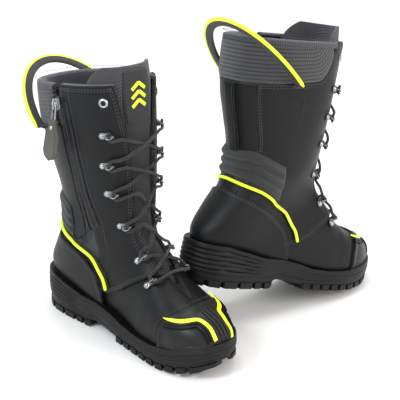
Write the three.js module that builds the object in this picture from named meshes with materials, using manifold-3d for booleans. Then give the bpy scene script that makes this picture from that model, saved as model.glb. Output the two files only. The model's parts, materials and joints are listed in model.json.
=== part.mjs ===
// A pair of laced firefighter's boots with an inner side zip and a pull-on loop at the back of each shaft.
// The left boot stands flat. The right boot has its toe on the ground and its heel on the left boot's vamp.
// Millimetres, +Z up. One boot is drawn with x forward, m (lateral) to the outside of the foot and z up,
// with x = 0 at the middle of the sole. The right boot is the left boot's mirror image.
import * as THREE from 'three';
import { mergeVertices } from 'three/addons/utils/BufferGeometryUtils.js';
import Module from 'manifold-3d';

const wasm = await Module();
wasm.setup();

// ---- driving dimensions ----
const SOLE_LENGTH = 306; // heel to toe, over the rubber
const BALL_WIDTH = 103; // across the ball of the sole
const TONGUE_HEIGHT = 330; // ground to the top of the tongue

const CLEARANCE = 0.3; // between pieces that touch
const LAP = 0.9; // between curved layers that lie on one another
const LINING_THICK = 2.4;
const VAMP_THICK = 1.8;
const LEATHER_THICK = 1.6;
const OVERLAY_THICK = 1.5;
const PAD_THICK = 4; // ankle pad and collar padding over the shaft
const STRIP_THICK = 1.2; // stay strip behind each row of hooks
const TONGUE_THICK = 3.8;
const CAP_THICK = 1.8; // protective toe cap
const PLATE_THICK = 1.2; // puncture-resistant plate
const INSOLE_THICK = 4;
const BUMPER_THICK = 2.6;

const LACE_DIAMETER = 3.6;
const RING_BORE = 6; // opening of a hook's ring
const RING_BAR = 1.6; // thickness of the metal
const HOOK_PLATE = { long: 15, wide: 8, thick: 1.2 };
const RIVET_RADIUS = 1.5;
const RIVET_DOME = 3.4;
const RIVET_SETBACK = 3.6; // of the rivet behind the middle of its plate
const EYELET = { bore: 2.9, wall: 0.8, rim: 5.4, proud: 0.9 };

const ZIP_SLOT = 9; // gap in the leather that the zip closes
const TEETH_WIDE = 5;
const TAPE_THICK = 1;
const SLIDER = { wide: 9.5, long: 13, thick: 3.4 };
const LINK = { wide: 7, long: 24, bar: 1.8 };
const TAB = { long: 47, wide: 24, thick: 4.2 };

const LOOP = { reach: 100, tilt: 56, strap: 13, thick: 4.4, outset: 7 }; // pull loop, tilt in degrees
const PIPING_RADIUS = 1.9;

const LUG_DEPTH = 7;
const HEEL_BREAST_X = -42;
const GROOVE_WIDE = 5;
const GROOVE_PITCH = 15.5;

const STANCE = { leftYaw: -45, rightYaw: 36, rightRoll: -3, apart: [172, 82] }; // degrees, mm

// ---- fitting the drawing to the driving dimensions ----
const DRAWN = { length: 306, ball: 103, height: 330, ankle: 150 };
const lengthScale = SOLE_LENGTH / DRAWN.length;
const widthScale = BALL_WIDTH / DRAWN.ball;
const shaftScale = (TONGUE_HEIGHT - DRAWN.ankle) / (DRAWN.height - DRAWN.ankle);
const fitX = (x) => x * lengthScale;
const fitZ = (z) => (z > DRAWN.ankle ? DRAWN.ankle + (z - DRAWN.ankle) * shaftScale : z);

const RAD = Math.PI / 180;
const clamp = (v, low, high) => Math.min(high, Math.max(low, v));

// The shape of the upper: sections fanned from the toe, round the instep, to the top of the shaft. Each
// section runs from a point on the sole or back to a point on the top or front, with a half-width to
// each side, the height of its widest place as a share, and how square its two ends are.
const SECTIONS = [
  // frontX, frontZ, backX, backZ, medial, lateral, shift, belly, frontSquare, backSquare
  [148, 36, 148, 35.9, 0.4, 0.4, -6, 0.35, 2.3, 3],
  [147, 46, 147, 29, 12, 12, -6, 0.35, 2.4, 3.5],
  [143.5, 53, 143.5, 26, 20.5, 20.5, -5.5, 0.32, 2.5, 4],
  [135.5, 60, 135.5, 24, 30, 29, -4.5, 0.3, 2.6, 5],
  [123, 65, 123, 22, 38, 37.5, -3, 0.28, 2.6, 6],
  [106, 70, 106, 21, 44, 43.5, -1, 0.26, 2.5, 6],
  [84, 78, 82, 20, 45.5, 46, 0.5, 0.24, 2.3, 6],
  [65, 91, 48, 20, 43, 45, 1.5, 0.24, 2.15, 6],
  [49, 105, 8, 25, 36.5, 41, 2, 0.26, 2.1, 5.5],
  [38, 118, -36, 31, 33.5, 36, 1, 0.28, 2.1, 5],
  [31, 130, -82, 37, 33, 33, 0, 0.32, 2.1, 3.6],
  [26, 141, -124, 40, 33.5, 33.5, 0, 0.4, 2.15, 2.9],
  [22.5, 152, -140, 57, 36, 36, 0, 0.45, 2.2, 2.3],
  [20, 164, -129, 82, 38.5, 38.5, 0, 0.48, 2.25, 2.2],
  [18, 178, -113, 108, 41, 41, 0, 0.5, 2.3, 2.2],
  [17, 194, -106, 137, 43, 43, 0, 0.5, 2.3, 2.2],
  [16, 213, -109, 167, 45.5, 45.5, 0, 0.5, 2.35, 2.25],
  [15.5, 235, -119.5, 197, 48, 48, 0, 0.5, 2.4, 2.3],
  [15, 260, -131, 230, 50, 50, 0, 0.5, 2.4, 2.4],
  [14, 286, -136.5, 264, 51.5, 51.5, 0, 0.5, 2.4, 2.4],
  [13, 312, -138.5, 297, 52, 52, 0, 0.5, 2.4, 2.4],
  [8, 336, -139.5, 324, 52, 52, 0, 0.5, 2.4, 2.4],
];
const SHAFT_TOP = 20; // the section at the top edge of the leather
const THROAT = 6.9; // the section where the lacing begins

function spline(a, b, c, d, f) {
  return b + 0.5 * f * (c - a + f * (2 * a - 5 * b + 4 * c - d + f * (3 * (b - c) + d - a)));
}

function sectionAt(t) {
  const i = clamp(Math.floor(t), 0, SECTIONS.length - 2);
  const rows = [i - 1, i, i + 1, i + 2].map((k) => SECTIONS[clamp(k, 0, SECTIONS.length - 1)]);
  const v = SECTIONS[0].map((_, k) => spline(...rows.map((r) => r[k]), t - i));
  return {
    front: [fitX(v[0]), fitZ(v[1])], back: [fitX(v[2]), fitZ(v[3])],
    medial: v[4] * widthScale, lateral: v[5] * widthScale, shift: v[6],
    belly: v[7], frontSquare: v[8], backSquare: v[9],
  };
}

// A point of section t at angle b: 0 is the sole or back, 90 lateral, 180 the top or front, -90 medial.
function onSection(s, b) {
  const across = Math.sin(b * RAD), up = -Math.cos(b * RAD);
  const n = up >= 0 ? s.frontSquare : s.backSquare;
  const r = (Math.abs(across) ** n + Math.abs(up) ** n) ** (-1 / n);
  const m = s.shift + across * r * (across >= 0 ? s.lateral : s.medial);
  const k = up >= 0 ? s.belly + (1 - s.belly) * up * r : s.belly * (1 + up * r);
  return { m, k };
}

function skin(t, b) {
  const s = sectionAt(t);
  const { m, k } = onSection(s, b);
  return new THREE.Vector3(
    s.back[0] + (s.front[0] - s.back[0]) * k, m, s.back[1] + (s.front[1] - s.back[1]) * k);
}

function skinNormal(t, b) {
  const dt = 0.05, db = 1;
  const t0 = Math.max(t - dt, 0.05), t1 = Math.min(t + dt, SECTIONS.length - 1);
  const alongT = skin(t1, b).sub(skin(t0, b));
  const alongB = skin(t, b + db).sub(skin(t, b - db));
  return alongT.cross(alongB).normalize();
}

const offSkin = (t, b, height) => skin(t, b).addScaledVector(skinNormal(t, b), height);

// The section and angle of a point drawn in side view.
function locate(drawnX, drawnZ) {
  const x = fitX(drawnX), z = fitZ(drawnZ);
  const side = (t) => {
    const s = sectionAt(t);
    return (s.front[0] - s.back[0]) * (z - s.back[1]) - (s.front[1] - s.back[1]) * (x - s.back[0]);
  };
  let low = 0.2;
  const step = 0.1;
  while (low + step < SECTIONS.length - 1 && side(low) * side(low + step) > 0) low += step;
  let high = low + step;
  const rising = side(high) > side(low);
  for (let i = 0; i < 30; i++) {
    const middle = (low + high) / 2;
    if ((side(middle) > 0) === rising) high = middle;
    else low = middle;
  }
  const s = sectionAt(low);
  const span = [s.front[0] - s.back[0], s.front[1] - s.back[1]];
  const share = ((x - s.back[0]) * span[0] + (z - s.back[1]) * span[1]) / (span[0] ** 2 + span[1] ** 2);
  return [low, angleWhere((b) => onSection(s, b).k > share, 0, 180)];
}

// The angle between two limits where a test first becomes true.
function angleWhere(test, from, to) {
  let low = from, high = to;
  for (let i = 0; i < 30; i++) {
    const middle = (low + high) / 2;
    if (test(middle)) high = middle;
    else low = middle;
  }
  return (low + high) / 2;
}

const angleAtHeight = (t, z) => angleWhere((b) => skin(t, b).z > z, 0, 180);
const angleAtWidth = (t, m) => angleWhere((b) => onSection(sectionAt(t), b).m < m, 90, 180);

// ---- curves and panels on the skin ----
const mirror = ([t, b]) => [t, -b];

// A smooth curve through (section, angle) points, from u = 0 to 1 along its length on the skin.
function curve(points) {
  const run = [0];
  for (let i = 1; i < points.length; i++) {
    run.push(run[i - 1] + skin(...points[i]).distanceTo(skin(...points[i - 1])));
  }
  return (u) => {
    const p = clamp(u, 0, 1) * run[run.length - 1];
    const i = Math.min(run.filter((r) => r <= p).length, points.length - 1) - 1;
    const around = [i - 1, i, i + 1, i + 2].map((k) => points[clamp(k, 0, points.length - 1)]);
    return [0, 1].map((k) => spline(...around.map((q) => q[k]), (p - run[i]) / (run[i + 1] - run[i])));
  };
}

// Fills the four-sided patch between its border curves.
function patch({ bottom, top, start, end }) {
  const corners = [bottom(0), bottom(1), top(0), top(1)];
  return (u, v) => [0, 1].map((k) =>
    (1 - v) * bottom(u)[k] + v * top(u)[k] + (1 - u) * start(v)[k] + u * end(v)[k]
    - (1 - u) * (1 - v) * corners[0][k] - u * (1 - v) * corners[1][k]
    - (1 - u) * v * corners[2][k] - u * v * corners[3][k]);
}

const straight = (a, b) => (u) => [a[0] + (b[0] - a[0]) * u, a[1] + (b[1] - a[1]) * u];

// A patch that has a start and end line straight between its bottom and top borders.
const band = (bottom, top) =>
  patch({ bottom, top, start: straight(bottom(0), top(0)), end: straight(bottom(1), top(1)) });

// A closed solid from an outer and an inner grid of points, with walls round the rim.
function slab(outer, inner) {
  const rows = outer.length, cols = outer[0].length;
  const positions = [...outer.flat(), ...inner.flat()].flatMap((p) => [p.x, p.y, p.z]);
  const at = (layer, i, j) => layer * rows * cols + i * cols + j;
  const faces = [];
  const quad = (a, b, c, d) => faces.push(a, b, c, a, c, d);
  for (let i = 0; i < rows - 1; i++) {
    for (let j = 0; j < cols - 1; j++) {
      quad(at(0, i, j), at(0, i, j + 1), at(0, i + 1, j + 1), at(0, i + 1, j));
      quad(at(1, i, j), at(1, i + 1, j), at(1, i + 1, j + 1), at(1, i, j + 1));
    }
  }
  for (let i = 0; i < rows - 1; i++) {
    quad(at(0, i, 0), at(0, i + 1, 0), at(1, i + 1, 0), at(1, i, 0));
    quad(at(0, i + 1, cols - 1), at(0, i, cols - 1), at(1, i, cols - 1), at(1, i + 1, cols - 1));
  }
  for (let j = 0; j < cols - 1; j++) {
    quad(at(0, 0, j + 1), at(0, 0, j), at(1, 0, j), at(1, 0, j + 1));
    quad(at(0, rows - 1, j), at(0, rows - 1, j + 1), at(1, rows - 1, j + 1), at(1, rows - 1, j));
  }
  return facingOut(indexed(positions, faces));
}

function indexed(positions, faces) {
  const g = new THREE.BufferGeometry();
  g.setAttribute('position', new THREE.BufferAttribute(new Float32Array(positions), 3));
  g.setIndex(faces);
  return g;
}

function facingOut(g) {
  const p = g.getAttribute('position'), index = g.index.array;
  const [a, b, c] = [new THREE.Vector3(), new THREE.Vector3(), new THREE.Vector3()];
  let volume = 0;
  for (let i = 0; i < index.length; i += 3) {
    a.fromBufferAttribute(p, index[i]);
    b.fromBufferAttribute(p, index[i + 1]);
    c.fromBufferAttribute(p, index[i + 2]);
    volume += a.dot(b.cross(c));
  }
  if (volume < 0) {
    for (let i = 0; i < index.length; i += 3) [index[i + 1], index[i + 2]] = [index[i + 2], index[i + 1]];
  }
  return g;
}

// A panel of even or varying thickness: place(u, v) gives its section and angle.
function panel(place, inside, outside, rows, cols) {
  const grid = (height) => Array.from({ length: rows + 1 }, (_, i) =>
    Array.from({ length: cols + 1 }, (_, j) => {
      const u = j / cols, v = i / rows;
      return offSkin(...place(u, v), typeof height === 'function' ? height(u, v) : height);
    }));
  return slab(grid(outside), grid(inside));
}

// ---- solids ----
function solidOf(geometry) {
  let g = geometry.index ? geometry.toNonIndexed() : geometry.clone();
  g.deleteAttribute('normal');
  g.deleteAttribute('uv');
  g = mergeVertices(g, 1e-4);
  return new wasm.Manifold(new wasm.Mesh({
    numProp: 3,
    vertProperties: new Float32Array(g.getAttribute('position').array),
    triVerts: new Uint32Array(g.index.array),
  }));
}

function geometryOf(solid) {
  const mesh = solid.getMesh();
  const positions = [];
  for (let i = 0; i < mesh.numVert; i++) {
    positions.push(...mesh.vertProperties.slice(i * mesh.numProp, i * mesh.numProp + 3));
  }
  return indexed(positions, [...mesh.triVerts]);
}

const joined = (geometries) => geometryOf(geometries.map(solidOf).reduce((a, b) => a.add(b)));
const cutBy = (geometry, tools) =>
  geometryOf(tools.map(solidOf).reduce((a, b) => a.subtract(b), solidOf(geometry)));

// Geometry moved into a frame, mirrored or not, with its faces kept outward.
const placed = (geometry, frame) =>
  facingOut((geometry.index ? geometry : mergeVertices(geometry)).clone().applyMatrix4(frame));

// The frame standing on the skin at (t, b): x towards the front edge, y up the shaft, z outwards.
function skinFrame(t, b, height) {
  const out = skinNormal(t, b);
  const up = skin(Math.min(t + 0.1, SECTIONS.length - 1), b).sub(skin(t - 0.1, b));
  up.addScaledVector(out, -up.dot(out)).normalize();
  const forward = out.clone().cross(up);
  if (b < 0) forward.negate();
  const m = new THREE.Matrix4().makeBasis(forward, up, out);
  m.setPosition(offSkin(t, b, height));
  return m;
}

// A round bar of n sides along a path, with a step every equal share of the path.
function roundBar(path, radius, sides, steps) {
  const ring = Array.from({ length: sides }, (_, i) => {
    const a = ((i + 0.5) * 2 * Math.PI) / sides;
    return new THREE.Vector2(Math.cos(a) * radius, Math.sin(a) * radius);
  });
  return new THREE.ExtrudeGeometry(new THREE.Shape(ring), { steps, extrudePath: path, bevelEnabled: false });
}

const tube = (points, radius, sides, steps, closed = false) =>
  roundBar(new THREE.CatmullRomCurve3(points, closed, 'centripetal'), radius, sides, steps);

// ---- the sole's outline ----
const OUTLINE = [
  // x, lateral, medial half-widths of the rubber at its widest
  [-150, 0, 0], [-147, 17, 17], [-138, 28, 28], [-120, 38, 37.5], [-95, 42, 41], [-60, 42.5, 40.5],
  [-25, 44, 40], [10, 48.5, 42.5], [45, 53, 47], [70, 53.5, 50], [95, 50.5, 50.5], [118, 43, 46.5],
  [136, 31, 38], [149, 14, 25], [156, -6, 6],
];

function outline(inset = 0) {
  const lateral = OUTLINE.map(([x, l]) => new THREE.Vector2(fitX(x), l * widthScale));
  const medial = OUTLINE.map(([x, , m]) => new THREE.Vector2(fitX(x), -m * widthScale));
  const loop = [...lateral, ...medial.slice(1, -1).reverse()];
  const flat = loop.map((p) => new THREE.Vector3(p.x, p.y, 0));
  const smooth = new THREE.CatmullRomCurve3(flat, true, 'centripetal');
  const points = smooth.getSpacedPoints(36).slice(0, -1);
  return points.map((p, i) => {
    const before = points[(i + points.length - 1) % points.length];
    const after = points[(i + 1) % points.length];
    const run = after.clone().sub(before).normalize();
    return new THREE.Vector2(p.x + run.y * inset, p.y - run.x * inset);
  });
}

// Heights along the sole, as (x, z) pairs with straight runs between them.
function along(pairs) {
  return (x) => {
    const drawn = x / lengthScale;
    const i = clamp(pairs.findIndex(([px]) => px > drawn), 1, pairs.length - 1);
    const [x0, z0] = pairs[i - 1], [x1, z1] = pairs[i];
    return z0 + (z1 - z0) * clamp((drawn - x0) / (x1 - x0), 0, 1);
  };
}
const RAND_TOP = along([[-156, 50], [-118, 50], [-83, 43], [-60, 38], [-31, 37], [-3, 32], [16, 27],
  [45, 25], [77, 26], [104, 31], [130, 38], [156, 43]]);
const RAND_FOOT = along([[-156, 15], [-50, 15], [-36, 19], [-20, 17], [10, 12], [90, 12], [130, 18],
  [156, 27]]);
const TREAD = along([[-156, 3], [-146, 0], [HEEL_BREAST_X - 4, 0], [HEEL_BREAST_X + 4, 12], [-22, 10],
  [-8, 2], [6, 0], [88, 0], [120, 5], [140, 11], [156, 19]]);

// The side walls between stacked rings of points.
function walls(rings) {
  const n = rings[0].length;
  const faces = [];
  for (let k = 0; k < rings.length - 1; k++) {
    for (let i = 0; i < n; i++) {
      const a = k * n + i, b = k * n + ((i + 1) % n), c = a + n, d = b + n;
      faces.push(a, b, d, a, d, c);
    }
  }
  return { positions: rings.flat().flatMap((p) => [p.x, p.y, p.z]), faces };
}

// A solid between stacked rings of points, closed by a flat strip on its first and last rings.
function stack(rings) {
  const n = rings[0].length;
  const { positions, faces } = walls(rings);
  // Each end is a strip between the outline's two sides, so that it can follow a curved height.
  const end = (first, flip) => {
    for (let i = 0; i < n / 2; i++) {
      const a = first + i, b = first + ((i + 1) % n);
      const c = first + ((n - i - 1) % n), d = first + ((n - i) % n);
      const push = (p, q, r) => {
        if (new Set([p, q, r]).size === 3) faces.push(...(flip ? [p, r, q] : [p, q, r]));
      };
      push(a, b, c);
      push(a, c, d);
    }
  };
  end(0, true);
  end((rings.length - 1) * n, false);
  return facingOut(indexed(positions, faces));
}

const ringAt = (inset, height) =>
  outline(inset).map((p) => new THREE.Vector3(p.x, p.y, height(p.x)));

// ---- pieces of one boot, in the left boot's frame with +y lateral ----

// How far the upper's layers stand out from the skin where the rubber grips them.
const gripOffset = (t) =>
  t < 5.7 ? BUMPER_THICK + 6 * CLEARANCE
    : t < 7.6 ? 3 * CLEARANCE
      : LEATHER_THICK + LAP + OVERLAY_THICK + 10 * CLEARANCE;

// The space inside the rubber that the upper fills.
function uppersBlank() {
  const n = 22;
  const rows = [];
  for (let t = 0.12; t <= 12.7; t += 0.7) {
    rows.push(Array.from({ length: n }, (_, j) => offSkin(t, (j * 360) / n, gripOffset(t) + CLEARANCE)));
  }
  const { positions, faces } = walls(rows);
  const last = (rows.length - 1) * n;
  for (let i = 1; i < n - 1; i++) {
    faces.push(0, i + 1, i);
    faces.push(last, last + i, last + i + 1);
  }
  return facingOut(indexed(positions, faces));
}

function midsole() {
  const block = stack([
    ringAt(1.5, (x) => RAND_FOOT(x) + CLEARANCE),
    ringAt(0, (x) => RAND_FOOT(x) * 0.65 + RAND_TOP(x) * 0.35),
    ringAt(1.2, RAND_TOP),
  ]);
  return cutBy(block, [uppersBlank()]);
}

function outsole() {
  const body = stack([ringAt(2.5, TREAD), ringAt(0.8, RAND_FOOT)]);
  const cuts = [];
  const across = BALL_WIDTH * 1.5;
  for (let x = 4; x < 140; x += GROOVE_PITCH) {
    const groove = new THREE.BoxGeometry(GROOVE_WIDE, across, 2 * LUG_DEPTH);
    groove.translate(fitX(x), 0, TREAD(fitX(x)));
    cuts.push(groove);
  }
  for (const x of [-136, -118, -72, -57]) {
    const groove = new THREE.BoxGeometry(GROOVE_WIDE, across, 2 * LUG_DEPTH);
    groove.translate(fitX(x), 0, 0);
    cuts.push(groove);
  }
  const centre = new THREE.BoxGeometry(fitX(126), GROOVE_WIDE, 2 * LUG_DEPTH - 2);
  centre.translate(fitX(60), 0, 0);
  cuts.push(centre);
  return cutBy(body, cuts);
}

// A plate that lies along the bottom of the foot, from section t0 to t1.
function footPlate(t0, t1, share, low, high, rows = 9) {
  const grid = (rise) => Array.from({ length: rows + 1 }, (_, i) => {
    const t = t0 + ((t1 - t0) * i) / rows;
    const s = sectionAt(t);
    return [-1, -0.5, 0, 0.5, 1].map((side) => new THREE.Vector3(
      s.back[0], s.shift + side * share * (side < 0 ? s.medial : s.lateral), s.back[1] + rise));
  });
  return slab(grid(high), grid(low));
}

const capInside = CLEARANCE + VAMP_THICK + 1.4 * LAP + CAP_THICK;
function liningOutside(t) {
  const foot = CLEARANCE + VAMP_THICK + 4.6 * LAP;
  const overCap = (capInside + 1.3 * LAP - foot) * clamp((5.9 - t) / 0.5, 0, 1);
  return -(foot + overCap + 0.4 * LAP * clamp((t - 12) / 3, 0, 1));
}

function lining() {
  const place = (u, v) => {
    const t = 1.1 + (SHAFT_TOP - 0.2 - 1.1) * v;
    const open = 176 - clamp((t - TONGUE_FOOT + 1.3) / 0.5, 0, 1) * (tongueAngle(t) + 1);
    return [t, (2 * u - 1) * open];
  };
  const outside = (u, v) => liningOutside(place(u, v)[0]);
  return panel(place, (u, v) => outside(u, v) - LINING_THICK, outside, 16, 10);
}

function toeCap() {
  const foot = 68;
  const place = (u, v) => [0.7 + 4.2 * v, foot + (360 - 2 * foot) * u];
  return panel(place, -capInside, -capInside + CAP_THICK, 5, 9);
}

// The angle where the rubber's top edge hides the upper, a little below it.
const tuck = (t, depth = 5) => angleAtHeight(t, RAND_TOP(skin(t, 50).x) - depth);

// The seam between the vamp and the shaft's leather, from the throat back to the end of the piping.
const SEAM = [[58, 99], [40, 88], [21, 76], [8, 66], [-8, 58], [-24, 54], [-40, 54]];

function vamp() {
  const seam = SEAM.map(([x, z]) => locate(x, z));
  const wing = (b) => {
    const side = Math.min(b, 360 - b);
    if (side > 172) return THROAT - 0.25;
    const k = clamp((side - 60) / (166 - 60), 0, 1);
    const i = clamp((1 - k) * (seam.length - 1), 0, seam.length - 1);
    const j = Math.min(Math.floor(i), seam.length - 2);
    return (seam[j][0] + (seam[j + 1][0] - seam[j][0]) * (i - j)) + 0.3;
  };
  const place = (u, v) => {
    const rough = 55 + 250 * u;
    const t = 0.3 + (wing(rough) - 0.3) * v;
    const foot = Math.max(tuck(t), 40);
    return [t, foot + (360 - 2 * foot) * u];
  };
  // Its rear edge dips under the shaft's leather.
  const outside = (u, v) => -CLEARANCE - 2.1 * clamp((v - 0.7) / 0.3, 0, 1);
  return panel(place, (u, v) => outside(u, v) - VAMP_THICK, outside, 9, 14);
}

const COUNTER_TOP = [[-23, 42], [-29, 61], [-45, 82], [-71, 98], [-100, 108]];
const COUNTER_BACK = locate(-119, 110)[0];

function heelCounter() {
  const side = COUNTER_TOP.map(([x, z]) => locate(x, z));
  const top = curve([...side, [COUNTER_BACK, 0], ...side.map(mirror).reverse()]);
  const feet = [8.75, 9.5, 10.2, 10.8, 11.2].map((t) => [t, tuck(t, 2)]);
  const bottom = curve([...feet, [11.6, 0], ...feet.map(mirror).reverse()]);
  const low = LEATHER_THICK + LAP + 0.35;
  return panel(band(bottom, top), low, low + OVERLAY_THICK, 5, 24);
}

function toeBumper() {
  const rear = (b) => {
    const side = Math.min(b, 360 - b);
    return 5.15 - 0.45 * clamp((side - 100) / 60, 0, 1);
  };
  const place = (u, v) => {
    const rough = 55 + 250 * u;
    const t = 0.3 + (rear(rough) - 0.3) * v;
    const foot = Math.max(tuck(t), 45);
    return [t, foot + (360 - 2 * foot) * u];
  };
  return panel(place, CLEARANCE, CLEARANCE + BUMPER_THICK, 6, 14);
}

// Half the gap between the two front edges of the shaft's leather.
const lacingGap = (t) => 9 + 6 * clamp((t - THROAT) / 2, 0, 1) + 15 * clamp((t - 16) / 4, 0, 1) ** 1.5;
const frontEdge = (t) => angleAtWidth(t, lacingGap(t) * widthScale);

// The edge between the lateral leather and the back panel, and where the collar meets both.
const STAY_TOP = locate(-121, 246);
const STAY_FOOT = locate(-96, 160);
const COLLAR_FRONT = [locate(-27, 300), locate(-26, 282), locate(-36, 263)];
const COLLAR_SEAM = [locate(-60, 256), locate(-90, 251)];
const GAP_T = 0.018; // half a butt joint, in sections
const GAP_B = 0.35; // and in degrees

function shaftEdgePoints(side) {
  const edge = [7.25, 8.2, 9.5, 11.5, 14, 16.5, 18.5, SHAFT_TOP].map((t) => [t, side * frontEdge(t)]);
  return edge;
}

function quarterLateral() {
  const start = curve(shaftEdgePoints(1));
  const topEdge = [start(1), [SHAFT_TOP - 0.02, COLLAR_FRONT[0][1] + 6], ...COLLAR_FRONT.slice(1),
    ...COLLAR_SEAM, STAY_TOP];
  const top = curve(topEdge.map(([t, b], i) => [t - (i > 1 ? GAP_T : 0), b + GAP_B]));
  const stayMiddle = [0, 1].map((k) => (STAY_FOOT[k] + STAY_TOP[k]) / 2);
  const backEdge = [[12.7, 22], [13.6, 22], STAY_FOOT, stayMiddle].map(([t, b]) => [t, b + GAP_B]);
  const end = curve([...backEdge, top(1)]);
  const seam = SEAM.slice(1).map(([x, z]) => locate(x, z));
  const bottom = curve([start(0), ...seam, [10.6, 62], [11.5, 42], end(0)]);
  return panel(patch({ bottom, top, start, end }), 0, LEATHER_THICK, 11, 14);
}

// The zip runs down the medial side, from near the top edge to the ankle.
const ZIP_TOP = [-66, 292];
const ZIP_FOOT = [-38, 132];
function zipLine(u) {
  const x = ZIP_TOP[0] + (ZIP_FOOT[0] - ZIP_TOP[0]) * u, z = ZIP_TOP[1] + (ZIP_FOOT[1] - ZIP_TOP[1]) * u;
  return mirror(locate(x, z));
}
const slotAngle = (t) => (ZIP_SLOT / 2 / (sectionAt(t).medial * 1.35)) / RAD;

function quarterMedial() {
  const start = curve(shaftEdgePoints(-1));
  const edge = [0, 0.25, 0.5, 0.75, 1].map(zipLine).map(([t, b]) => [t, b - slotAngle(t)]);
  const join = mirror(locate(-40, 100));
  const end = curve([[9.8, -70], [10.6, join[1] - 4], ...edge.reverse(), [SHAFT_TOP, edge[4][1]]]);
  const bottom = curve([start(0), ...SEAM.slice(1, 6).map(([x, z]) => mirror(locate(x, z))), end(0)]);
  const top = straight(start(1), end(1));
  return panel(patch({ bottom, top, start, end }), 0, LEATHER_THICK, 14, 10);
}

function backPanel() {
  const edge = [0, 0.25, 0.5, 0.75, 1].map(zipLine).map(([t, b]) => [t, b + slotAngle(t)]).reverse();
  const topEdge = [COLLAR_BACK - GAP_T, edge[4][1]];
  const start = curve([[12.65, -48], [12.7, edge[0][1] + 6], edge[0], edge[1], edge[2], edge[3], topEdge]);
  const end = curve([[12.7, 22], [13.6, 22], STAY_FOOT,
    [(STAY_FOOT[0] + STAY_TOP[0]) / 2, (STAY_FOOT[1] + STAY_TOP[1]) / 2], STAY_TOP]
    .map(([t, b]) => [t - GAP_T, b - GAP_B]));
  return panel(patch({ bottom: straight(start(0), end(0)), top: straight(start(1), end(1)), start, end }),
    0, LEATHER_THICK, 10, 7);
}

const COLLAR_BACK = locate(-134, 244)[0];

function collar() {
  const behindZip = (u) => zipLine(u)[1] + slotAngle(18) * 2.2;
  const low = [[COLLAR_BACK, behindZip(0.2)], [COLLAR_BACK, -40], [COLLAR_BACK, 0], STAY_TOP,
    ...[...COLLAR_SEAM].reverse(), ...[...COLLAR_FRONT].reverse()];
  const bottom = curve(low.map(([t, b]) => [t + GAP_T, b - 1.5 * GAP_B]));
  const last = bottom(1);
  const top = curve([[SHAFT_TOP - 0.1, behindZip(0)], [SHAFT_TOP - 0.1, -45], [SHAFT_TOP - 0.1, 0],
    [SHAFT_TOP - 0.1, 45], [SHAFT_TOP - 0.1, 85], [SHAFT_TOP - 0.05, last[1]]]);
  return panel(band(bottom, top), -CLEARANCE - 1.2, PAD_THICK, 3, 18);
}

function anklePad() {
  const low = LEATHER_THICK + LAP + 0.15;
  const ribs = 3;
  const lateralTop = [[-60, 153], [-80, 160], [-99, 166]].map(([x, z]) => locate(x, z));
  const lateralFoot = [[-56, 111], [-75, 118], [-96, 127]].map(([x, z]) => locate(x, z));
  const backTop = locate(-108, 163)[0], backFoot = locate(-112, 128)[0];
  const medialTop = [[-66, 155], [-82, 161], [-99, 166]].map(([x, z]) => mirror(locate(x, z)));
  const medialFoot = [[-66, 116], [-80, 121], [-96, 128]].map(([x, z]) => mirror(locate(x, z)));
  const top = curve([...lateralTop, [backTop, 0], ...medialTop.reverse()]);
  const bottom = curve([...lateralFoot, [backFoot, 0], ...medialFoot.reverse()]);
  const swell = (u, v) => low + 1.2 + (PAD_THICK - 1.2) * Math.abs(Math.sin(ribs * Math.PI * v)) ** 0.6;
  return panel(band(bottom, top), low, swell, 9, 15);
}

// The edge piping, from one side of the instep round the back of the heel to the other.
const PIPING = [[-13, 60], [-22, 77], [-42, 97], [-68, 111], [-93, 121]];
function anklePiping() {
  const height = LEATHER_THICK + LAP + PIPING_RADIUS + 0.9;
  const side = PIPING.map(([x, z]) => locate(x, z));
  const back = [locate(-112, 124)[0], 0];
  const points = [...side, back, ...side.map(mirror).reverse()].map(([t, b]) => offSkin(t, b, height));
  return tube(points, PIPING_RADIUS, 6, 34);
}

const TONGUE_FOOT = THROAT - 0.5;
function tongueAngle(t) {
  return 26 + 26 * clamp((t - TONGUE_FOOT) / 3, 0, 1) + 12 * clamp((t - 14) / 5, 0, 1);
}

function tongue() {
  const outside = (u, v) => {
    const edge = Math.abs(2 * u - 1);
    const rise = 1.2 * (1 - edge) * Math.sin(Math.PI * v) - 4.8 * clamp(1 - v * 5, 0, 1);
    return -(LAP + STRIP_THICK + LAP + 5 * CLEARANCE) + rise;
  };
  const place = (u, v) => {
    const t = TONGUE_FOOT + (SECTIONS.length - 1.3 - TONGUE_FOOT) * v;
    return [t, 180 - tongueAngle(t) + 2 * tongueAngle(t) * u];
  };
  return panel(place, (u, v) => outside(u, v) - TONGUE_THICK, outside, 12, 5);
}

function tonguePatch() {
  const under = -(LAP + STRIP_THICK + LAP + 5 * CLEARANCE) + 1.2 + CLEARANCE;
  const place = (u, v) => [18.3 + 2.1 * v, 180 - 21 + 42 * u];
  return panel(place, under, under + 1, 3, 4);
}

// ---- hooks, eyelets and lace ----
const HOOKS = [[-3, 254], [-4, 219], [-2, 185], [6, 145], [29, 108]];
const LAST_HOOK = [50, 86];
const EYELET_AT = [-4, 291];

const HOOK_BASE = LEATHER_THICK + 2 * CLEARANCE; // of a hook's plate over the skin
const RING_HEIGHT = HOOK_PLATE.thick + RING_BORE / 2 + RING_BAR * 0.4; // of its centre over its plate

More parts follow.
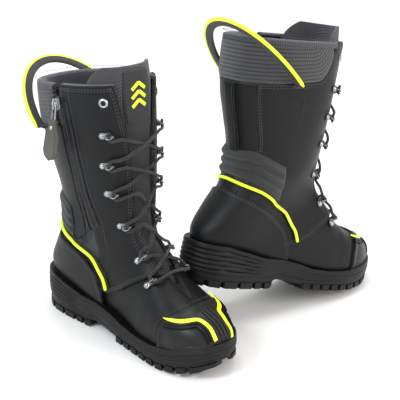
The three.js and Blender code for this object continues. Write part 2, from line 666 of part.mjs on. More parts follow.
// A riveted plate with a dome at its back and a closed ring at its front. The ring's hole leans up the shaft.
function hookParts() {
  const plate = new THREE.BoxGeometry(HOOK_PLATE.long, HOOK_PLATE.wide, HOOK_PLATE.thick);
  plate.translate(0, 0, HOOK_PLATE.thick / 2);
  const dome = new THREE.CylinderGeometry(RIVET_DOME * 0.45, RIVET_DOME, 2.4, 6);
  dome.rotateX(Math.PI / 2);
  dome.translate(-RIVET_SETBACK, 0, HOOK_PLATE.thick + 1.1);
  const outer = RING_BORE / 2 + RING_BAR;
  const circle = (r, path) => {
    const corners = Array.from({ length: 6 }, (_, i) =>
      new THREE.Vector2(r * Math.cos((i * Math.PI) / 3), r * Math.sin((i * Math.PI) / 3)));
    return path.setFromPoints(corners);
  };
  const shape = circle(outer, new THREE.Shape());
  shape.holes.push(circle(RING_BORE / 2, new THREE.Path()));
  const ring = new THREE.ExtrudeGeometry(shape, { depth: RING_BAR * 1.5, bevelEnabled: false });
  ring.translate(0, 0, -RING_BAR * 0.75);
  ring.rotateX(Math.PI / 2);
  ring.translate(HOOK_PLATE.long / 2 - outer * 0.55, 0, RING_HEIGHT);
  return [plate, dome, ring];
}

const ringOffset = HOOK_PLATE.long / 2 - (RING_BORE / 2 + RING_BAR) * 0.55;

function rivetStem(length, radius, height) {
  const stem = new THREE.CylinderGeometry(radius, radius, length, 4);
  stem.rotateX(Math.PI / 2);
  stem.translate(-RIVET_SETBACK, 0, height);
  return stem;
}

// A rivet's stem, from inside the plate on the leather to the far face of the strip behind it.
const STEM = { long: HOOK_BASE + LAP + STRIP_THICK + 1.5 };
STEM.centre = 0.6 - STEM.long / 2;

const onSide = ([x, z], side) => (side > 0 ? locate(x, z) : mirror(locate(x, z)));

function hookRow(side) {
  const places = HOOKS.map((p) => onSide(p, side));
  const foot = [places[4][0] - 0.35, places[4][1]], head = [places[0][0] + 0.3, places[0][1]];
  const line = curve([foot, ...places.slice(0, 4).reverse(), head]);
  const strip = (u, v) => {
    const spot = line(v);
    const half = 5 / (sectionAt(spot[0]).lateral * 0.9) / RAD;
    return [spot[0], spot[1] + (2 * u - 1) * half - side * 5];
  };
  const parts = [panel(strip, -LAP - STRIP_THICK - 1, -LAP - 1, 16, 1)];
  for (const [t, b] of places) {
    const frame = skinFrame(t, b, HOOK_BASE);
    const stem = rivetStem(STEM.long, RIVET_RADIUS, STEM.centre);
    parts.push(...[...hookParts(), stem].map((g) => placed(g, frame)));
  }
  return joined(parts);
}

// Holes through the leather for a row's rivets.
function rivetHoles(side) {
  return HOOKS.map((p) => {
    const frame = skinFrame(...onSide(p, side), HOOK_BASE);
    return placed(rivetStem(STEM.long + 1, RIVET_RADIUS + CLEARANCE, STEM.centre), frame);
  });
}

function lastHook(side) {
  const frame = skinFrame(...onSide(LAST_HOOK, side), 0);
  return joined(hookParts().map((g) => placed(g, frame)));
}

// The holes through a quarter for its rivets and its eyelet.
function lacingHoles(side) {
  const radius = EYELET.bore + EYELET.wall + CLEARANCE;
  const hole = new THREE.CylinderGeometry(radius, radius, 4 * LEATHER_THICK, 8);
  hole.rotateX(Math.PI / 2);
  return [...rivetHoles(side), placed(hole, skinFrame(...onSide(EYELET_AT, side), LEATHER_THICK / 2))];
}

function eyelet(side) {
  const high = LEATHER_THICK + CLEARANCE;
  const profile = [
    [EYELET.bore, -0.6], [EYELET.bore + EYELET.wall, -0.6], [EYELET.bore + EYELET.wall, high],
    [EYELET.rim, high],
    [EYELET.rim - 0.6, high + EYELET.proud], [EYELET.bore, high + EYELET.proud], [EYELET.bore, -0.6],
  ].map(([r, y]) => new THREE.Vector2(r, y));
  const ring = new THREE.LatheGeometry(profile, 8);
  ring.rotateX(Math.PI / 2);
  return placed(joined([ring]), skinFrame(...onSide(EYELET_AT, side), 0));
}

// A ring that the lace passes through, and the way to a point beside its centre.
function laceRing(spot, side, base) {
  const frame = skinFrame(...onSide(spot, side), base);
  const at = (forward, rise) =>
    new THREE.Vector3(ringOffset + forward, rise, RING_HEIGHT).applyMatrix4(frame);
  return { at, spot: onSide(spot, side) };
}

const LACE_HEIGHT = 4.7; // above the skin between the rings
const CROSS_OVER = LACE_DIAMETER / 2 + 0.35;

// One run of lace from a ring to the next ring up on the other side, over the front of the shaft.
function laceRun(from, to, over) {
  const side = Math.sign(from.spot[1]);
  const reach = 180 - Math.abs(from.spot[1]) - (ringOffset + 8) / sectionAt(from.spot[0]).lateral / RAD;
  const points = [];
  for (const f of [0.06, 0.26, 0.5, 0.74, 0.94]) {
    const t = from.spot[0] + (to.spot[0] - from.spot[0]) * (0.12 + 0.76 * f);
    const b = side * (180 - reach * (1 - 2 * f));
    const lift = over * CROSS_OVER * clamp(1 - Math.abs(f - 0.5) / 0.2, 0, 1);
    points.push(offSkin(t, b, LACE_HEIGHT + lift + 2.4 * Math.abs(2 * f - 1) ** 3));
  }
  return points;
}

const throughRing = (ring) =>
  [ring.at(2.4, -5), ring.at(0, -1.6), ring.at(0, 1.6), ring.at(2.4, 5)];

function laceRoute() {
  const stops = (side) => [
    laceRing(LAST_HOOK, side, 0),
    ...[...HOOKS].reverse().map((p) => laceRing(p, side, HOOK_BASE)),
  ];
  const rows = stops(1).map((lateral, i) => [lateral, stops(-1)[i]]);
  // Half of the lace climbs from the bottom ring on one side to the top, crossing at each step.
  const climb = (start) => rows.flatMap((row, i) => {
    const here = row[(start + i) % 2];
    const next = rows[i + 1]?.[(start + i + 1) % 2];
    const over = (start + i) % 2 ? 1 : -1;
    return [...throughRing(here), ...(next ? laceRun(here, next, i % 2 ? -over : over) : [])];
  });
  const bar = [-1, 0, 1].map((k) => offSkin(rows[0][0].spot[0] - 0.35, 180 - k * 16, LACE_HEIGHT - 1));
  return [...climb(0).reverse(), ...bar.reverse(), ...climb(1)];
}

// A tube that has one ring of corners at each of its points.
function jointedTube(points, radius, sides) {
  const path = new THREE.CatmullRomCurve3(points);
  path.getPointAt = path.getPoint;
  path.getTangentAt = path.getTangent;
  return roundBar(path, radius, sides, points.length - 1);
}

const lace = () => jointedTube(laceRoute(), LACE_DIAMETER / 2, 5);

// ---- zip ----
function zipTape() {
  const place = (u, v) => {
    const [t, b] = zipLine(0.02 + 0.98 * (1 - v));
    const half = slotAngle(t) * 1.9;
    return [t, b + (2 * u - 1) * half];
  };
  return panel(place, -3 * CLEARANCE - TAPE_THICK, -3 * CLEARANCE, 9, 2);
}

function zipTeeth() {
  const place = (u, v) => {
    const [t, b] = zipLine(0.03 + 0.95 * (1 - v));
    return [t, b + (2 * u - 1) * slotAngle(t) * (TEETH_WIDE / ZIP_SLOT)];
  };
  return panel(place, -CLEARANCE, LEATHER_THICK * 0.8, 9, 1);
}

// The slider at the top of its straight line of travel, raised to clear the shaft all the way.
const SLIDER_LIFT = 5.2;
const SLIDER_EYE = [0, -SLIDER.long * 0.08, SLIDER.thick / 2 + 1.4]; // the bridge's opening
function sliderFrame() {
  const top = offSkin(...zipLine(0.06), SLIDER_LIFT), foot = offSkin(...zipLine(0.93), SLIDER_LIFT);
  const up = top.clone().sub(foot).normalize();
  const out = skinNormal(...zipLine(0.5));
  out.addScaledVector(up, -out.dot(up)).normalize();
  const forward = up.clone().cross(out);
  return { matrix: new THREE.Matrix4().makeBasis(forward, up, out).setPosition(top), forward };
}

function zipSlider() {
  const { matrix } = sliderFrame();
  const body = new THREE.BoxGeometry(SLIDER.wide, SLIDER.long, SLIDER.thick);
  const bridge = new THREE.BoxGeometry(2.2, SLIDER.long * 0.7, 4.4);
  bridge.translate(0, 0, SLIDER.thick / 2 + 2);
  const window = new THREE.BoxGeometry(4, SLIDER.long * 0.4, 3);
  window.translate(...SLIDER_EYE);
  return geometryOf(solidOf(joined([body, bridge])).subtract(solidOf(window)).transform(matrix.elements));
}

// The link hangs straight down from the slider's bridge, and the tab hangs from the link.
function pullFrame() {
  const { matrix, forward } = sliderFrame();
  const axis = new THREE.Vector3(forward.x, forward.y, 0).normalize();
  const up = new THREE.Vector3(0, 0, 1);
  return new THREE.Matrix4().makeBasis(axis, up, axis.clone().cross(up))
    .setPosition(new THREE.Vector3(...SLIDER_EYE).applyMatrix4(matrix));
}

const LINK_LEAN = 10; // degrees that the pull leans out from the leather
const hangingFrame = () => pullFrame().multiply(new THREE.Matrix4().makeRotationX(-LINK_LEAN * RAD));

function zipLink() {
  const hole = LINK.wide - 2 * LINK.bar;
  const outer = new THREE.BoxGeometry(LINK.wide, LINK.long, LINK.bar);
  outer.translate(0, (LINK.bar - LINK.long) / 2, 0);
  const opening = new THREE.BoxGeometry(hole, LINK.long - LINK.bar - 7, LINK.bar * 3);
  opening.translate(0, -(LINK.long - 7) / 2, 0);
  return cutBy(outer, [opening]).applyMatrix4(hangingFrame());
}

function zipTab() {
  const top = -LINK.long + 8;
  const shape = new THREE.Shape();
  const neck = 5.5, w = TAB.wide / 2, foot = top - TAB.long;
  shape.moveTo(-neck, top);
  shape.lineTo(neck, top);
  shape.bezierCurveTo(neck, top - 14, w, top - 18, w, foot + w);
  shape.absarc(0, foot + w, w, 0, -Math.PI, true);
  shape.bezierCurveTo(-w, top - 18, -neck, top - 14, -neck, top);
  const body = new THREE.ExtrudeGeometry(shape, { depth: TAB.thick, bevelEnabled: false, curveSegments: 6 });
  body.translate(0, 0, -TAB.thick / 2);
  const pocket = new THREE.BoxGeometry(LINK.wide + 2 * CLEARANCE, 24, LINK.bar + 2 * CLEARANCE);
  pocket.translate(0, top + 3.5, 0);
  return cutBy(body, [pocket]).applyMatrix4(hangingFrame());
}

// ---- pull loop ----
// A flat strap bent into a horseshoe in a plane that leans back, with piping on its outer edge.
const LOOP_LATERAL = [-78, 252];
const LOOP_MEDIAL = [-94, 250];
function loopFrame() {
  const height = PAD_THICK + CLEARANCE + LOOP.outset;
  const lateral = offSkin(...locate(...LOOP_LATERAL), height);
  const medial = offSkin(...mirror(locate(...LOOP_MEDIAL)), height);
  const centre = lateral.clone().add(medial).multiplyScalar(0.5);
  const axis = lateral.clone().sub(medial);
  const half = axis.length() / 2;
  axis.normalize();
  const rise = new THREE.Vector3(-Math.sin(LOOP.tilt * RAD), 0, Math.cos(LOOP.tilt * RAD));
  rise.addScaledVector(axis, -rise.dot(axis)).normalize();
  const side = axis.clone().cross(rise);
  return { centre, axis, rise, side, half };
}

function pullLoop() {
  const { centre, axis, rise, side, half } = loopFrame();
  const shape = new THREE.Shape();
  const inner = half - LOOP.strap / 2, outer = half + LOOP.strap / 2, steps = 14;
  const arc = (a, h) => Array.from({ length: steps + 1 }, (_, i) => {
    const angle = (i * Math.PI) / steps;
    return new THREE.Vector2(a * Math.cos(angle), h * Math.sin(angle));
  });
  const far = arc(outer, LOOP.reach + LOOP.strap / 2), near = arc(inner, LOOP.reach - LOOP.strap / 2);
  shape.setFromPoints([...far, ...near.reverse()]);
  const strap = new THREE.ExtrudeGeometry(shape, { depth: LOOP.thick, bevelEnabled: false });
  strap.translate(0, 0, -LOOP.thick / 2);
  return strap.applyMatrix4(new THREE.Matrix4().makeBasis(axis, rise, side).setPosition(centre));
}

// ---- materials ----
const material = (color, roughness, metalness = 0) =>
  new THREE.MeshStandardMaterial({ color, roughness, metalness });
const LEATHER = material(0x26272a, 0.5);
const RUBBER = material(0x1d1d1e, 0.62);
const KNIT = material(0x4a4a52, 0.95);
const FABRIC = material(0x303036, 0.95);
const LINING_CLOTH = material(0x3c3e48, 0.95);
const STEEL = material(0x77787a, 0.35, 0.9);
const DARK_STEEL = material(0x3a3b3d, 0.35, 0.9);
const HI_VIS = material(0xdfff1e, 0.55);
const LACE_CORD = material(0x1a1b1b, 0.9);
const BOARD = material(0xb9b09a, 0.9);

// ---- one boot ----
function bootPieces() {
  return [
    ['outsole', outsole(), RUBBER],
    ['midsole', midsole(), RUBBER],
    ['puncture_plate', footPlate(1.6, 10.9, 0.6, 2 * CLEARANCE, 2 * CLEARANCE + PLATE_THICK), BOARD],
    ['insole', footPlate(2.8, 10.5, 0.38, 10.4, 10.4 + INSOLE_THICK), FABRIC],
    ['toe_cap', toeCap(), STEEL],
    ['toe_bumper', toeBumper(), RUBBER],
    ['vamp', vamp(), LEATHER],
    ['heel_counter', heelCounter(), LEATHER],
    ['quarter_lateral', cutBy(quarterLateral(), lacingHoles(1)), LEATHER],
    ['quarter_medial', cutBy(quarterMedial(), lacingHoles(-1)), LEATHER],
    ['back_panel', backPanel(), LEATHER],
    ['ankle_pad', anklePad(), FABRIC],
    ['ankle_piping', anklePiping(), HI_VIS],
    ['collar', collar(), KNIT],
    ['lining', lining(), LINING_CLOTH],
    ['tongue', tongue(), KNIT],
    ['tongue_patch', tonguePatch(), FABRIC],
    ['hooks_lateral', hookRow(1), DARK_STEEL],
    ['hooks_medial', hookRow(-1), DARK_STEEL],
    ['toe_hook_lateral', lastHook(1), DARK_STEEL],
    ['toe_hook_medial', lastHook(-1), DARK_STEEL],
    ['eyelet_lateral', eyelet(1), STEEL],
    ['eyelet_medial', eyelet(-1), STEEL],
    ['lace', lace(), LACE_CORD],
    ['zip_tape', zipTape(), FABRIC],
    ['zip_teeth', zipTeeth(), DARK_STEEL],
    ['zip_slider', zipSlider(), STEEL],
    ['zip_link', zipLink(), STEEL],
    ['zip_tab', zipTab(), RUBBER],
    ['pull_loop', pullLoop(), HI_VIS],
  ];
}

const pieces = bootPieces();

function boot(prefix) {
  const group = new THREE.Group();
  for (const [name, geometry, look] of pieces) {
    const mesh = new THREE.Mesh(geometry, look);
    mesh.name = `${prefix}_${name}`;
    group.add(mesh);
  }
  return group;
}

const rotated = (solid, roll, pitch, yaw) =>
  solid.rotate([roll, 0, 0]).rotate([0, pitch, 0]).rotate([0, 0, yaw]);
const solids = Object.fromEntries(pieces.map(([name, geometry]) => [name, solidOf(geometry)]));
const leftAt = [-STANCE.apart[0] / 2, -STANCE.apart[1] / 2, 0];

// The right boot's pitch, toe down, at which its heel rests on the left boot's toe while its own toe
// touches the ground. Each try drops the boot until its lowest point is on the ground.
function settle() {
  const under = ['vamp', 'toe_bumper', 'midsole', 'outsole', 'quarter_lateral', 'toe_hook_lateral']
    .map((name) => rotated(solids[name], 0, 0, STANCE.leftYaw).translate(leftAt));
  const sole = ['outsole', 'midsole'].map((name) => solids[name].mirror([0, 1, 0]));
  const tried = (pitch) => {
    const tilted = sole.map((s) => rotated(s, STANCE.rightRoll, pitch, STANCE.rightYaw));
    const drop = -Math.min(...tilted.map((s) => s.boundingBox().min[2]));
    const at = [STANCE.apart[0] / 2, STANCE.apart[1] / 2, drop];
    const stood = tilted.map((s) => s.translate(at));
    const gap = Math.min(...stood.flatMap((s) => under.map((u) => s.minGap(u, 20))));
    return { at, gap, pitch };
  };
  let low = 4, high = 30;
  for (let i = 0; i < 16; i++) {
    const middle = (low + high) / 2;
    if (tried(middle).gap > CLEARANCE) high = middle;
    else low = middle;
  }
  return tried(high);
}

const rest = settle();
const pair = new THREE.Group();
const left = boot('left');
left.rotation.z = STANCE.leftYaw * RAD;
left.position.set(...leftAt);
pair.add(left);

const right = boot('right');
right.rotation.set(STANCE.rightRoll * RAD, rest.pitch * RAD, STANCE.rightYaw * RAD, 'ZYX');
right.scale.y = -1;
right.position.set(...rest.at);
pair.add(right);

// The origin is under the middle of the pair.
pair.updateMatrixWorld(true);
const bounds = new THREE.Box3().setFromObject(pair, true);
pair.position.set(-(bounds.min.x + bounds.max.x) / 2, -(bounds.min.y + bounds.max.y) / 2, 0);

export default pair;
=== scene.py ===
# The looks of a pair of firefighter's boots: black leather uppers on rubber soles, with a knitted collar
# and tongue, laces through steel hooks, an inner side zip with a leather pull, and a pull loop.
# One boot is drawn in millimetres, with x forward, m to the outside of the foot and z up, and each of
# its pieces is shown twice: as the left boot's, and mirrored as the right boot's.
import json
import math

import bpy
import numpy as np
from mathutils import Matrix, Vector


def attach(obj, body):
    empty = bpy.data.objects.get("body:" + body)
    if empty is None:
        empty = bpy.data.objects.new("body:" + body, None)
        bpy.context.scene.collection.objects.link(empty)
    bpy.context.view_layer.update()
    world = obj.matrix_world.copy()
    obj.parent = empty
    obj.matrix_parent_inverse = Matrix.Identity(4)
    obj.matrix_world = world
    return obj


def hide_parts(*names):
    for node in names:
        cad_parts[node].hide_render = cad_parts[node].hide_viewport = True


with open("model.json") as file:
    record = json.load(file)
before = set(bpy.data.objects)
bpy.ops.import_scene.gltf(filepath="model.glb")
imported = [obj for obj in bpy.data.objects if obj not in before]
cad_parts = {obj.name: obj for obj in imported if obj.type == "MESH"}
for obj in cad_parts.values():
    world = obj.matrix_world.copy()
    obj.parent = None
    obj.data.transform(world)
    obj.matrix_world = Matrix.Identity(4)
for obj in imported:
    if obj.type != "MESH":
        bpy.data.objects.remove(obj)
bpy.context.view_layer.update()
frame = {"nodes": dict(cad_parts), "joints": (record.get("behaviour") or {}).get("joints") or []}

MM = 0.001

# ---- driving sizes, as in the part's source ----
LEATHER = 1.6
LAP = 0.9
VAMP = 1.8
OVERLAY = 1.5
PAD = 4.0
LINING = 2.4
TONGUE = 3.8
BUMPER = 2.6
COUNTER_LOW = LEATHER + LAP + 0.35
LACE = 3.6
RING_BORE = 6.0
RING_BAR = 1.6
HOOK_PLATE = (15.0, 8.0, 1.2)
EYELET_BORE = 2.9
EYELET_RIM = 5.4
ZIP_SLOT = 9.0
SLIDER = (9.5, 13.0, 3.4)
LINK = (7.0, 24.0, 1.8)
TAB = (24.0, 47.0, 4.2)
LINK_LEAN = 10.0
SLIDER_LIFT = 5.2
LOOP_REACH = 100.0
LOOP_TILT = 56.0
LOOP_STRAP = 13.0
LOOP_THICK = 4.4
LOOP_OUTSET = 7.0
LOOP_STANDS = PAD + 0.3 + LOOP_OUTSET
PIPING = 1.9
GRIP = 0.3

# The left boot is as drawn, and the right boot is its mirror image.
HANDS = {"left": 1, "right": -1}

# ---- the shape of the upper ----
# Sections fanned from the toe, round the instep, to the top of the shaft. Each runs from a point on the
# sole or back to a point on the top or front, with a half-width to each side, a sideways shift, the
# height of its widest place as a share, and how square its two ends are.
SECTIONS = np.array([
    # frontX, frontZ, backX, backZ, medial, lateral, shift, belly, frontSquare, backSquare
    [148, 36, 148, 35.9, 0.4, 0.4, -6, 0.35, 2.3, 3],
    [147, 46, 147, 29, 12, 12, -6, 0.35, 2.4, 3.5],
    [143.5, 53, 143.5, 26, 20.5, 20.5, -5.5, 0.32, 2.5, 4],
    [135.5, 60, 135.5, 24, 30, 29, -4.5, 0.3, 2.6, 5],
    [123, 65, 123, 22, 38, 37.5, -3, 0.28, 2.6, 6],
    [106, 70, 106, 21, 44, 43.5, -1, 0.26, 2.5, 6],
    [84, 78, 82, 20, 45.5, 46, 0.5, 0.24, 2.3, 6],
    [65, 91, 48, 20, 43, 45, 1.5, 0.24, 2.15, 6],
    [49, 105, 8, 25, 36.5, 41, 2, 0.26, 2.1, 5.5],
    [38, 118, -36, 31, 33.5, 36, 1, 0.28, 2.1, 5],
    [31, 130, -82, 37, 33, 33, 0, 0.32, 2.1, 3.6],
    [26, 141, -124, 40, 33.5, 33.5, 0, 0.4, 2.15, 2.9],
    [22.5, 152, -140, 57, 36, 36, 0, 0.45, 2.2, 2.3],
    [20, 164, -129, 82, 38.5, 38.5, 0, 0.48, 2.25, 2.2],
    [18, 178, -113, 108, 41, 41, 0, 0.5, 2.3, 2.2],
    [17, 194, -106, 137, 43, 43, 0, 0.5, 2.3, 2.2],
    [16, 213, -109, 167, 45.5, 45.5, 0, 0.5, 2.35, 2.25],
    [15.5, 235, -119.5, 197, 48, 48, 0, 0.5, 2.4, 2.3],
    [15, 260, -131, 230, 50, 50, 0, 0.5, 2.4, 2.4],
    [14, 286, -136.5, 264, 51.5, 51.5, 0, 0.5, 2.4, 2.4],
    [13, 312, -138.5, 297, 52, 52, 0, 0.5, 2.4, 2.4],
    [8, 336, -139.5, 324, 52, 52, 0, 0.5, 2.4, 2.4],
], float)
LAST = len(SECTIONS) - 1
SHAFT_TOP = 20.0
THROAT = 6.9


def clamp(value, low=0.0, high=1.0):
    return np.clip(value, low, high)


def smooth(value):
    value = clamp(value)
    return value * value * (3 - 2 * value)


def spline(a, b, c, d, f):
    return b + 0.5 * f * (c - a + f * (2 * a - 5 * b + 4 * c - d + f * (3 * (b - c) + d - a)))


def section(t):
    t = np.asarray(t, float)
    i = np.clip(t.astype(int), 0, LAST - 1)
    rows = [SECTIONS[np.clip(i + k, 0, LAST)] for k in (-1, 0, 1, 2)]
    return np.moveaxis(spline(*rows, (t - i)[..., None]), -1, 0)


def across(s, b):
    """The sideways place on section s at angle b, and the share of the way from its back to its front."""
    sideways, up = np.sin(np.radians(b)), -np.cos(np.radians(b))
    square = np.where(up >= 0, s[8], s[9])
    r = (np.abs(sideways) ** square + np.abs(up) ** square) ** (-1 / square)
    m = s[6] + sideways * r * np.where(sideways >= 0, s[5], s[4])
    share = np.where(up >= 0, s[7] + (1 - s[7]) * up * r, s[7] * (1 + up * r))
    return m, share


def skin(t, b):
    """The outside of the foot's shape: angle 0 is the sole or back, 90 lateral, 180 the front, -90 medial."""
    s = section(t)
    m, share = across(s, b)
    return np.stack([s[2] + (s[0] - s[2]) * share, m, s[3] + (s[1] - s[3]) * share], -1)


def unit(v):
    return v / np.maximum(np.linalg.norm(v, axis=-1, keepdims=True), 1e-9)


def normal(t, b):
    t = np.asarray(t, float)
    along = skin(np.clip(t + 0.05, 0, LAST), b) - skin(np.clip(t - 0.05, 0.05, LAST), b)
    return unit(np.cross(along, skin(t, np.asarray(b) + 1.0) - skin(t, np.asarray(b) - 1.0)))


def over(t, b, height):
    return skin(t, b) + normal(t, b) * np.asarray(height, float)[..., None]


def found(test, low, high, shape=()):
    """Where a test first becomes true between two limits."""
    low, high = np.full(shape, float(low)), np.full(shape, float(high))
    for _ in range(26):
        middle = (low + high) / 2
        yes = test(middle)
        low, high = np.where(yes, low, middle), np.where(yes, middle, high)
    return (low + high) / 2


def angle_at_height(t, z):
    return found(lambda b: skin(t, b)[..., 2] > z, 0, 180, np.shape(t))


def angle_at_width(t, m):
    return found(lambda b: across(section(t), b)[0] < m, 90, 180, np.shape(t))


def spot(x, z):
    """The section and angle of a point drawn in side view, on the lateral side."""
    steps = np.arange(0.2, LAST, 0.1)

    def side(t):
        s = section(t)
        return (s[0] - s[2]) * (z - s[3]) - (s[1] - s[3]) * (x - s[2])

    turns = side(steps)
    k = int(np.argmax(turns[:-1] * turns[1:] <= 0))
    rising = turns[k + 1] > turns[k]
    t = found(lambda v: (side(v) > 0) == rising, steps[k], steps[k + 1])
    s = section(t)
    span = np.array([s[0] - s[2], s[1] - s[3]])
    share = ((x - s[2]) * span[0] + (z - s[3]) * span[1]) / (span ** 2).sum()
    return float(t), float(found(lambda b: across(s, b)[1] > share, 0, 180))


def mirror(place):
    return place[0], -place[1]


def curve(points):
    """A smooth line on the skin through (section, angle) points, from u = 0 to 1 along its length."""
    points = np.array(points, float)
    places = skin(points[:, 0], points[:, 1])
    run = np.concatenate([[0], np.cumsum(np.linalg.norm(np.diff(places, axis=0), axis=1))])

    def at(u):
        p = clamp(np.asarray(u, float)) * run[-1]
        i = np.clip(np.searchsorted(run, p, "right") - 1, 0, len(points) - 2)
        rows = [points[np.clip(i + k, 0, len(points) - 1)] for k in (-1, 0, 1, 2)]
        both = spline(*rows, ((p - run[i]) / (run[i + 1] - run[i]))[..., None])
        return both[..., 0], both[..., 1]
    return at


def straight(a, b):
    return lambda u: (a[0] + (b[0] - a[0]) * np.asarray(u), a[1] + (b[1] - a[1]) * np.asarray(u))


def part_of(path, start, end):
    return lambda u: path(start + (end - start) * np.asarray(u))


def patch(bottom, top, start, end):
    """Fills the four-sided patch between its border lines."""
    corners = [np.array(c) for c in (bottom(0), bottom(1), top(0), top(1))]

    def at(u, v):
        low, high, left, right = bottom(u), top(u), start(v), end(v)
        return tuple((1 - v) * low[k] + v * high[k] + (1 - u) * left[k] + u * right[k]
                     - (1 - u) * (1 - v) * corners[0][k] - u * (1 - v) * corners[1][k]
                     - (1 - u) * v * corners[2][k] - u * v * corners[3][k] for k in (0, 1))
    return at


def band(bottom, top):
    return lambda u, v: tuple((1 - v) * bottom(u)[k] + v * top(u)[k] for k in (0, 1))


def beside(path, distance, samples=160):
    """A line beside another on the skin; positive is to the left, seen from outside."""
    u = np.linspace(0, 1, samples)
    t, b = (np.array(v, float) for v in path(u))
    side = unit(np.cross(normal(t, b), np.gradient(skin(t, b), axis=0)))
    wide = distance(u) if callable(distance) else distance
    for _ in range(3):
        by_t = (skin(t + 0.01, b) - skin(t - 0.01, b)) / 0.02
        by_b = (skin(t, b + 0.1) - skin(t, b - 0.1)) / 0.2
        go = side * (np.asarray(wide) / 3 * np.ones(samples))[:, None]
        a, c, m = (by_t ** 2).sum(1), (by_b ** 2).sum(1), (by_t * by_b).sum(1)
        p, q = (by_t * go).sum(1), (by_b * go).sum(1)
        fall = a * c - m * m
        t, b = t + (p * c - q * m) / fall, b + (q * a - p * m) / fall
    return lambda v: (np.interp(v, u, t), np.interp(v, u, b))


def length_of(path, samples=80):
    return float(np.linalg.norm(np.diff(skin(*path(np.linspace(0, 1, samples))), axis=0), axis=1).sum())


# ---- shapes ----
class Shape:
    """Points and faces in a boot's millimetres, with cloth coordinates and the distance to the rim."""

    def __init__(self, points, quads=(), tris=(), cloth=None, rim=None, finish=0):
        self.points = np.asarray(points, float).reshape(-1, 3)
        self.quads = np.asarray(quads, int).reshape(-1, 4)
        self.tris = np.asarray(tris, int).reshape(-1, 3)
        count = len(self.points)
        self.cloth = np.zeros((count, 2)) if cloth is None else np.asarray(cloth, float).reshape(-1, 2)
        self.rim = np.full(count, 9.0) if rim is None else np.asarray(rim, float).reshape(-1)
        self.quad_finish = np.full(len(self.quads), finish)
        self.tri_finish = np.full(len(self.tris), finish)

    def __add__(self, other):
        joined = Shape(np.vstack([self.points, other.points]))
        step = len(self.points)
        joined.quads = np.vstack([self.quads, other.quads + step])
        joined.tris = np.vstack([self.tris, other.tris + step])
        joined.cloth = np.vstack([self.cloth, other.cloth])
        joined.rim = np.concatenate([self.rim, other.rim])
        joined.quad_finish = np.concatenate([self.quad_finish, other.quad_finish])
        joined.tri_finish = np.concatenate([self.tri_finish, other.tri_finish])
        return joined

    def outward(self):
        """The same shape with its faces pointing out."""
        triangles = np.vstack([self.quads[:, [0, 1, 2]], self.quads[:, [0, 2, 3]], self.tris])
        a, b, c = (self.points[triangles[:, k]] for k in range(3))
        if (a * np.cross(b, c)).sum() < 0:
            self.quads, self.tris = self.quads[:, ::-1], self.tris[:, ::-1]
        return self

    def placed(self, matrix):
        self.points = self.points @ matrix[:3, :3].T + matrix[:3, 3]
        return self.outward() if np.linalg.det(matrix[:3, :3]) < 0 else self

    def copy(self):
        return self + Shape(np.zeros((0, 3)))


def joined(shapes):
    shapes = list(shapes)
    total = shapes[0]
    for shape in shapes[1:]:
        total = total + shape
    return total


def lattice(rows, cols, start=0, wrap=False):
    """The quads of a grid of points, which may close on itself along its columns."""
    i, j = np.meshgrid(np.arange(rows - 1), np.arange(cols if wrap else cols - 1), indexing="ij")
    k = (j + 1) % cols
    faces = np.stack([i * cols + j, i * cols + k, (i + 1) * cols + k, (i + 1) * cols + j], -1)
    return faces.reshape(-1, 4) + start


def slab(outer, inner, cloth, rim, finish=0):
    """A closed shape from an outer and an inner grid, with walls round the rim."""
    rows, cols = outer.shape[:2]
    half = rows * cols
    faces = [lattice(rows, cols), lattice(rows, cols)[:, ::-1] + half]
    border = np.concatenate([np.arange(cols), np.arange(1, rows) * cols + cols - 1,
                             (rows - 1) * cols + np.arange(cols - 2, -1, -1),
                             np.arange(rows - 2, 0, -1) * cols])
    after = np.roll(border, -1)
    faces.append(np.stack([after, border, border + half, after + half], -1))
    points = np.vstack([outer.reshape(-1, 3), inner.reshape(-1, 3)])
    return Shape(points, np.vstack(faces), cloth=np.vstack([cloth.reshape(-1, 2)] * 2),
                 rim=np.concatenate([rim.reshape(-1), np.zeros(half)]), finish=finish).outward()


def spread(length, step, round_off):
    """Shares along a length, close together in the rounded stretch at each end."""
    rim = np.array([0, 0.08, 0.3, 0.62, 1.0]) * round_off
    count = max(2, int(round((length - 2 * round_off) / step)))
    middle = np.linspace(round_off, length - round_off, count + 1)[1:-1]
    return np.concatenate([rim, middle, length - rim[::-1]]) / length


def grid_run(points, axis):
    """Each grid point's distance from the start along one direction, and the whole distance there."""
    steps = np.linalg.norm(np.diff(points, axis=axis), axis=2)
    run = np.concatenate([np.zeros_like(np.take(steps, [0], axis)), np.cumsum(steps, axis)], axis)
    return run, np.take(run, [-1], axis)


def panel(place, low, high, step=2.5, round_off=0.9, relief=None, finish=0):
    """A sheet of leather, rubber or cloth laid on the skin, with its outer edge rounded off."""
    coarse = np.linspace(0, 1, 24)
    u, v = np.meshgrid(coarse, coarse)
    rough = skin(*place(u, v))
    wide = float(np.median(grid_run(rough, 1)[1]))
    tall = float(np.median(grid_run(rough, 0)[1]))
    u, v = np.meshgrid(spread(wide, step, round_off), spread(tall, step, round_off))
    t, b = place(u, v)
    ground, out = skin(t, b), normal(t, b)
    run_u, all_u = grid_run(ground, 1)
    run_v, all_v = grid_run(ground, 0)
    rim = np.minimum(np.minimum(run_u, all_u - run_u), np.minimum(run_v, all_v - run_v))
    low_at = low(u, v) if callable(low) else np.full(u.shape, float(low))
    high_at = high(u, v) if callable(high) else np.full(u.shape, float(high))
    r = np.minimum(round_off, 0.8 * (high_at - low_at))
    fall = r - np.sqrt(np.maximum(r ** 2 - (r - np.minimum(rim, r)) ** 2, 0))
    top = high_at - fall
    if relief:
        top = top + relief(t, b, ground, rim) * smooth(rim / round_off)
    cloth = np.stack([run_u - run_u[:, [run_u.shape[1] // 2]], run_v], -1)
    return slab(ground + out * top[..., None], ground + out * low_at[..., None], cloth, rim, finish)


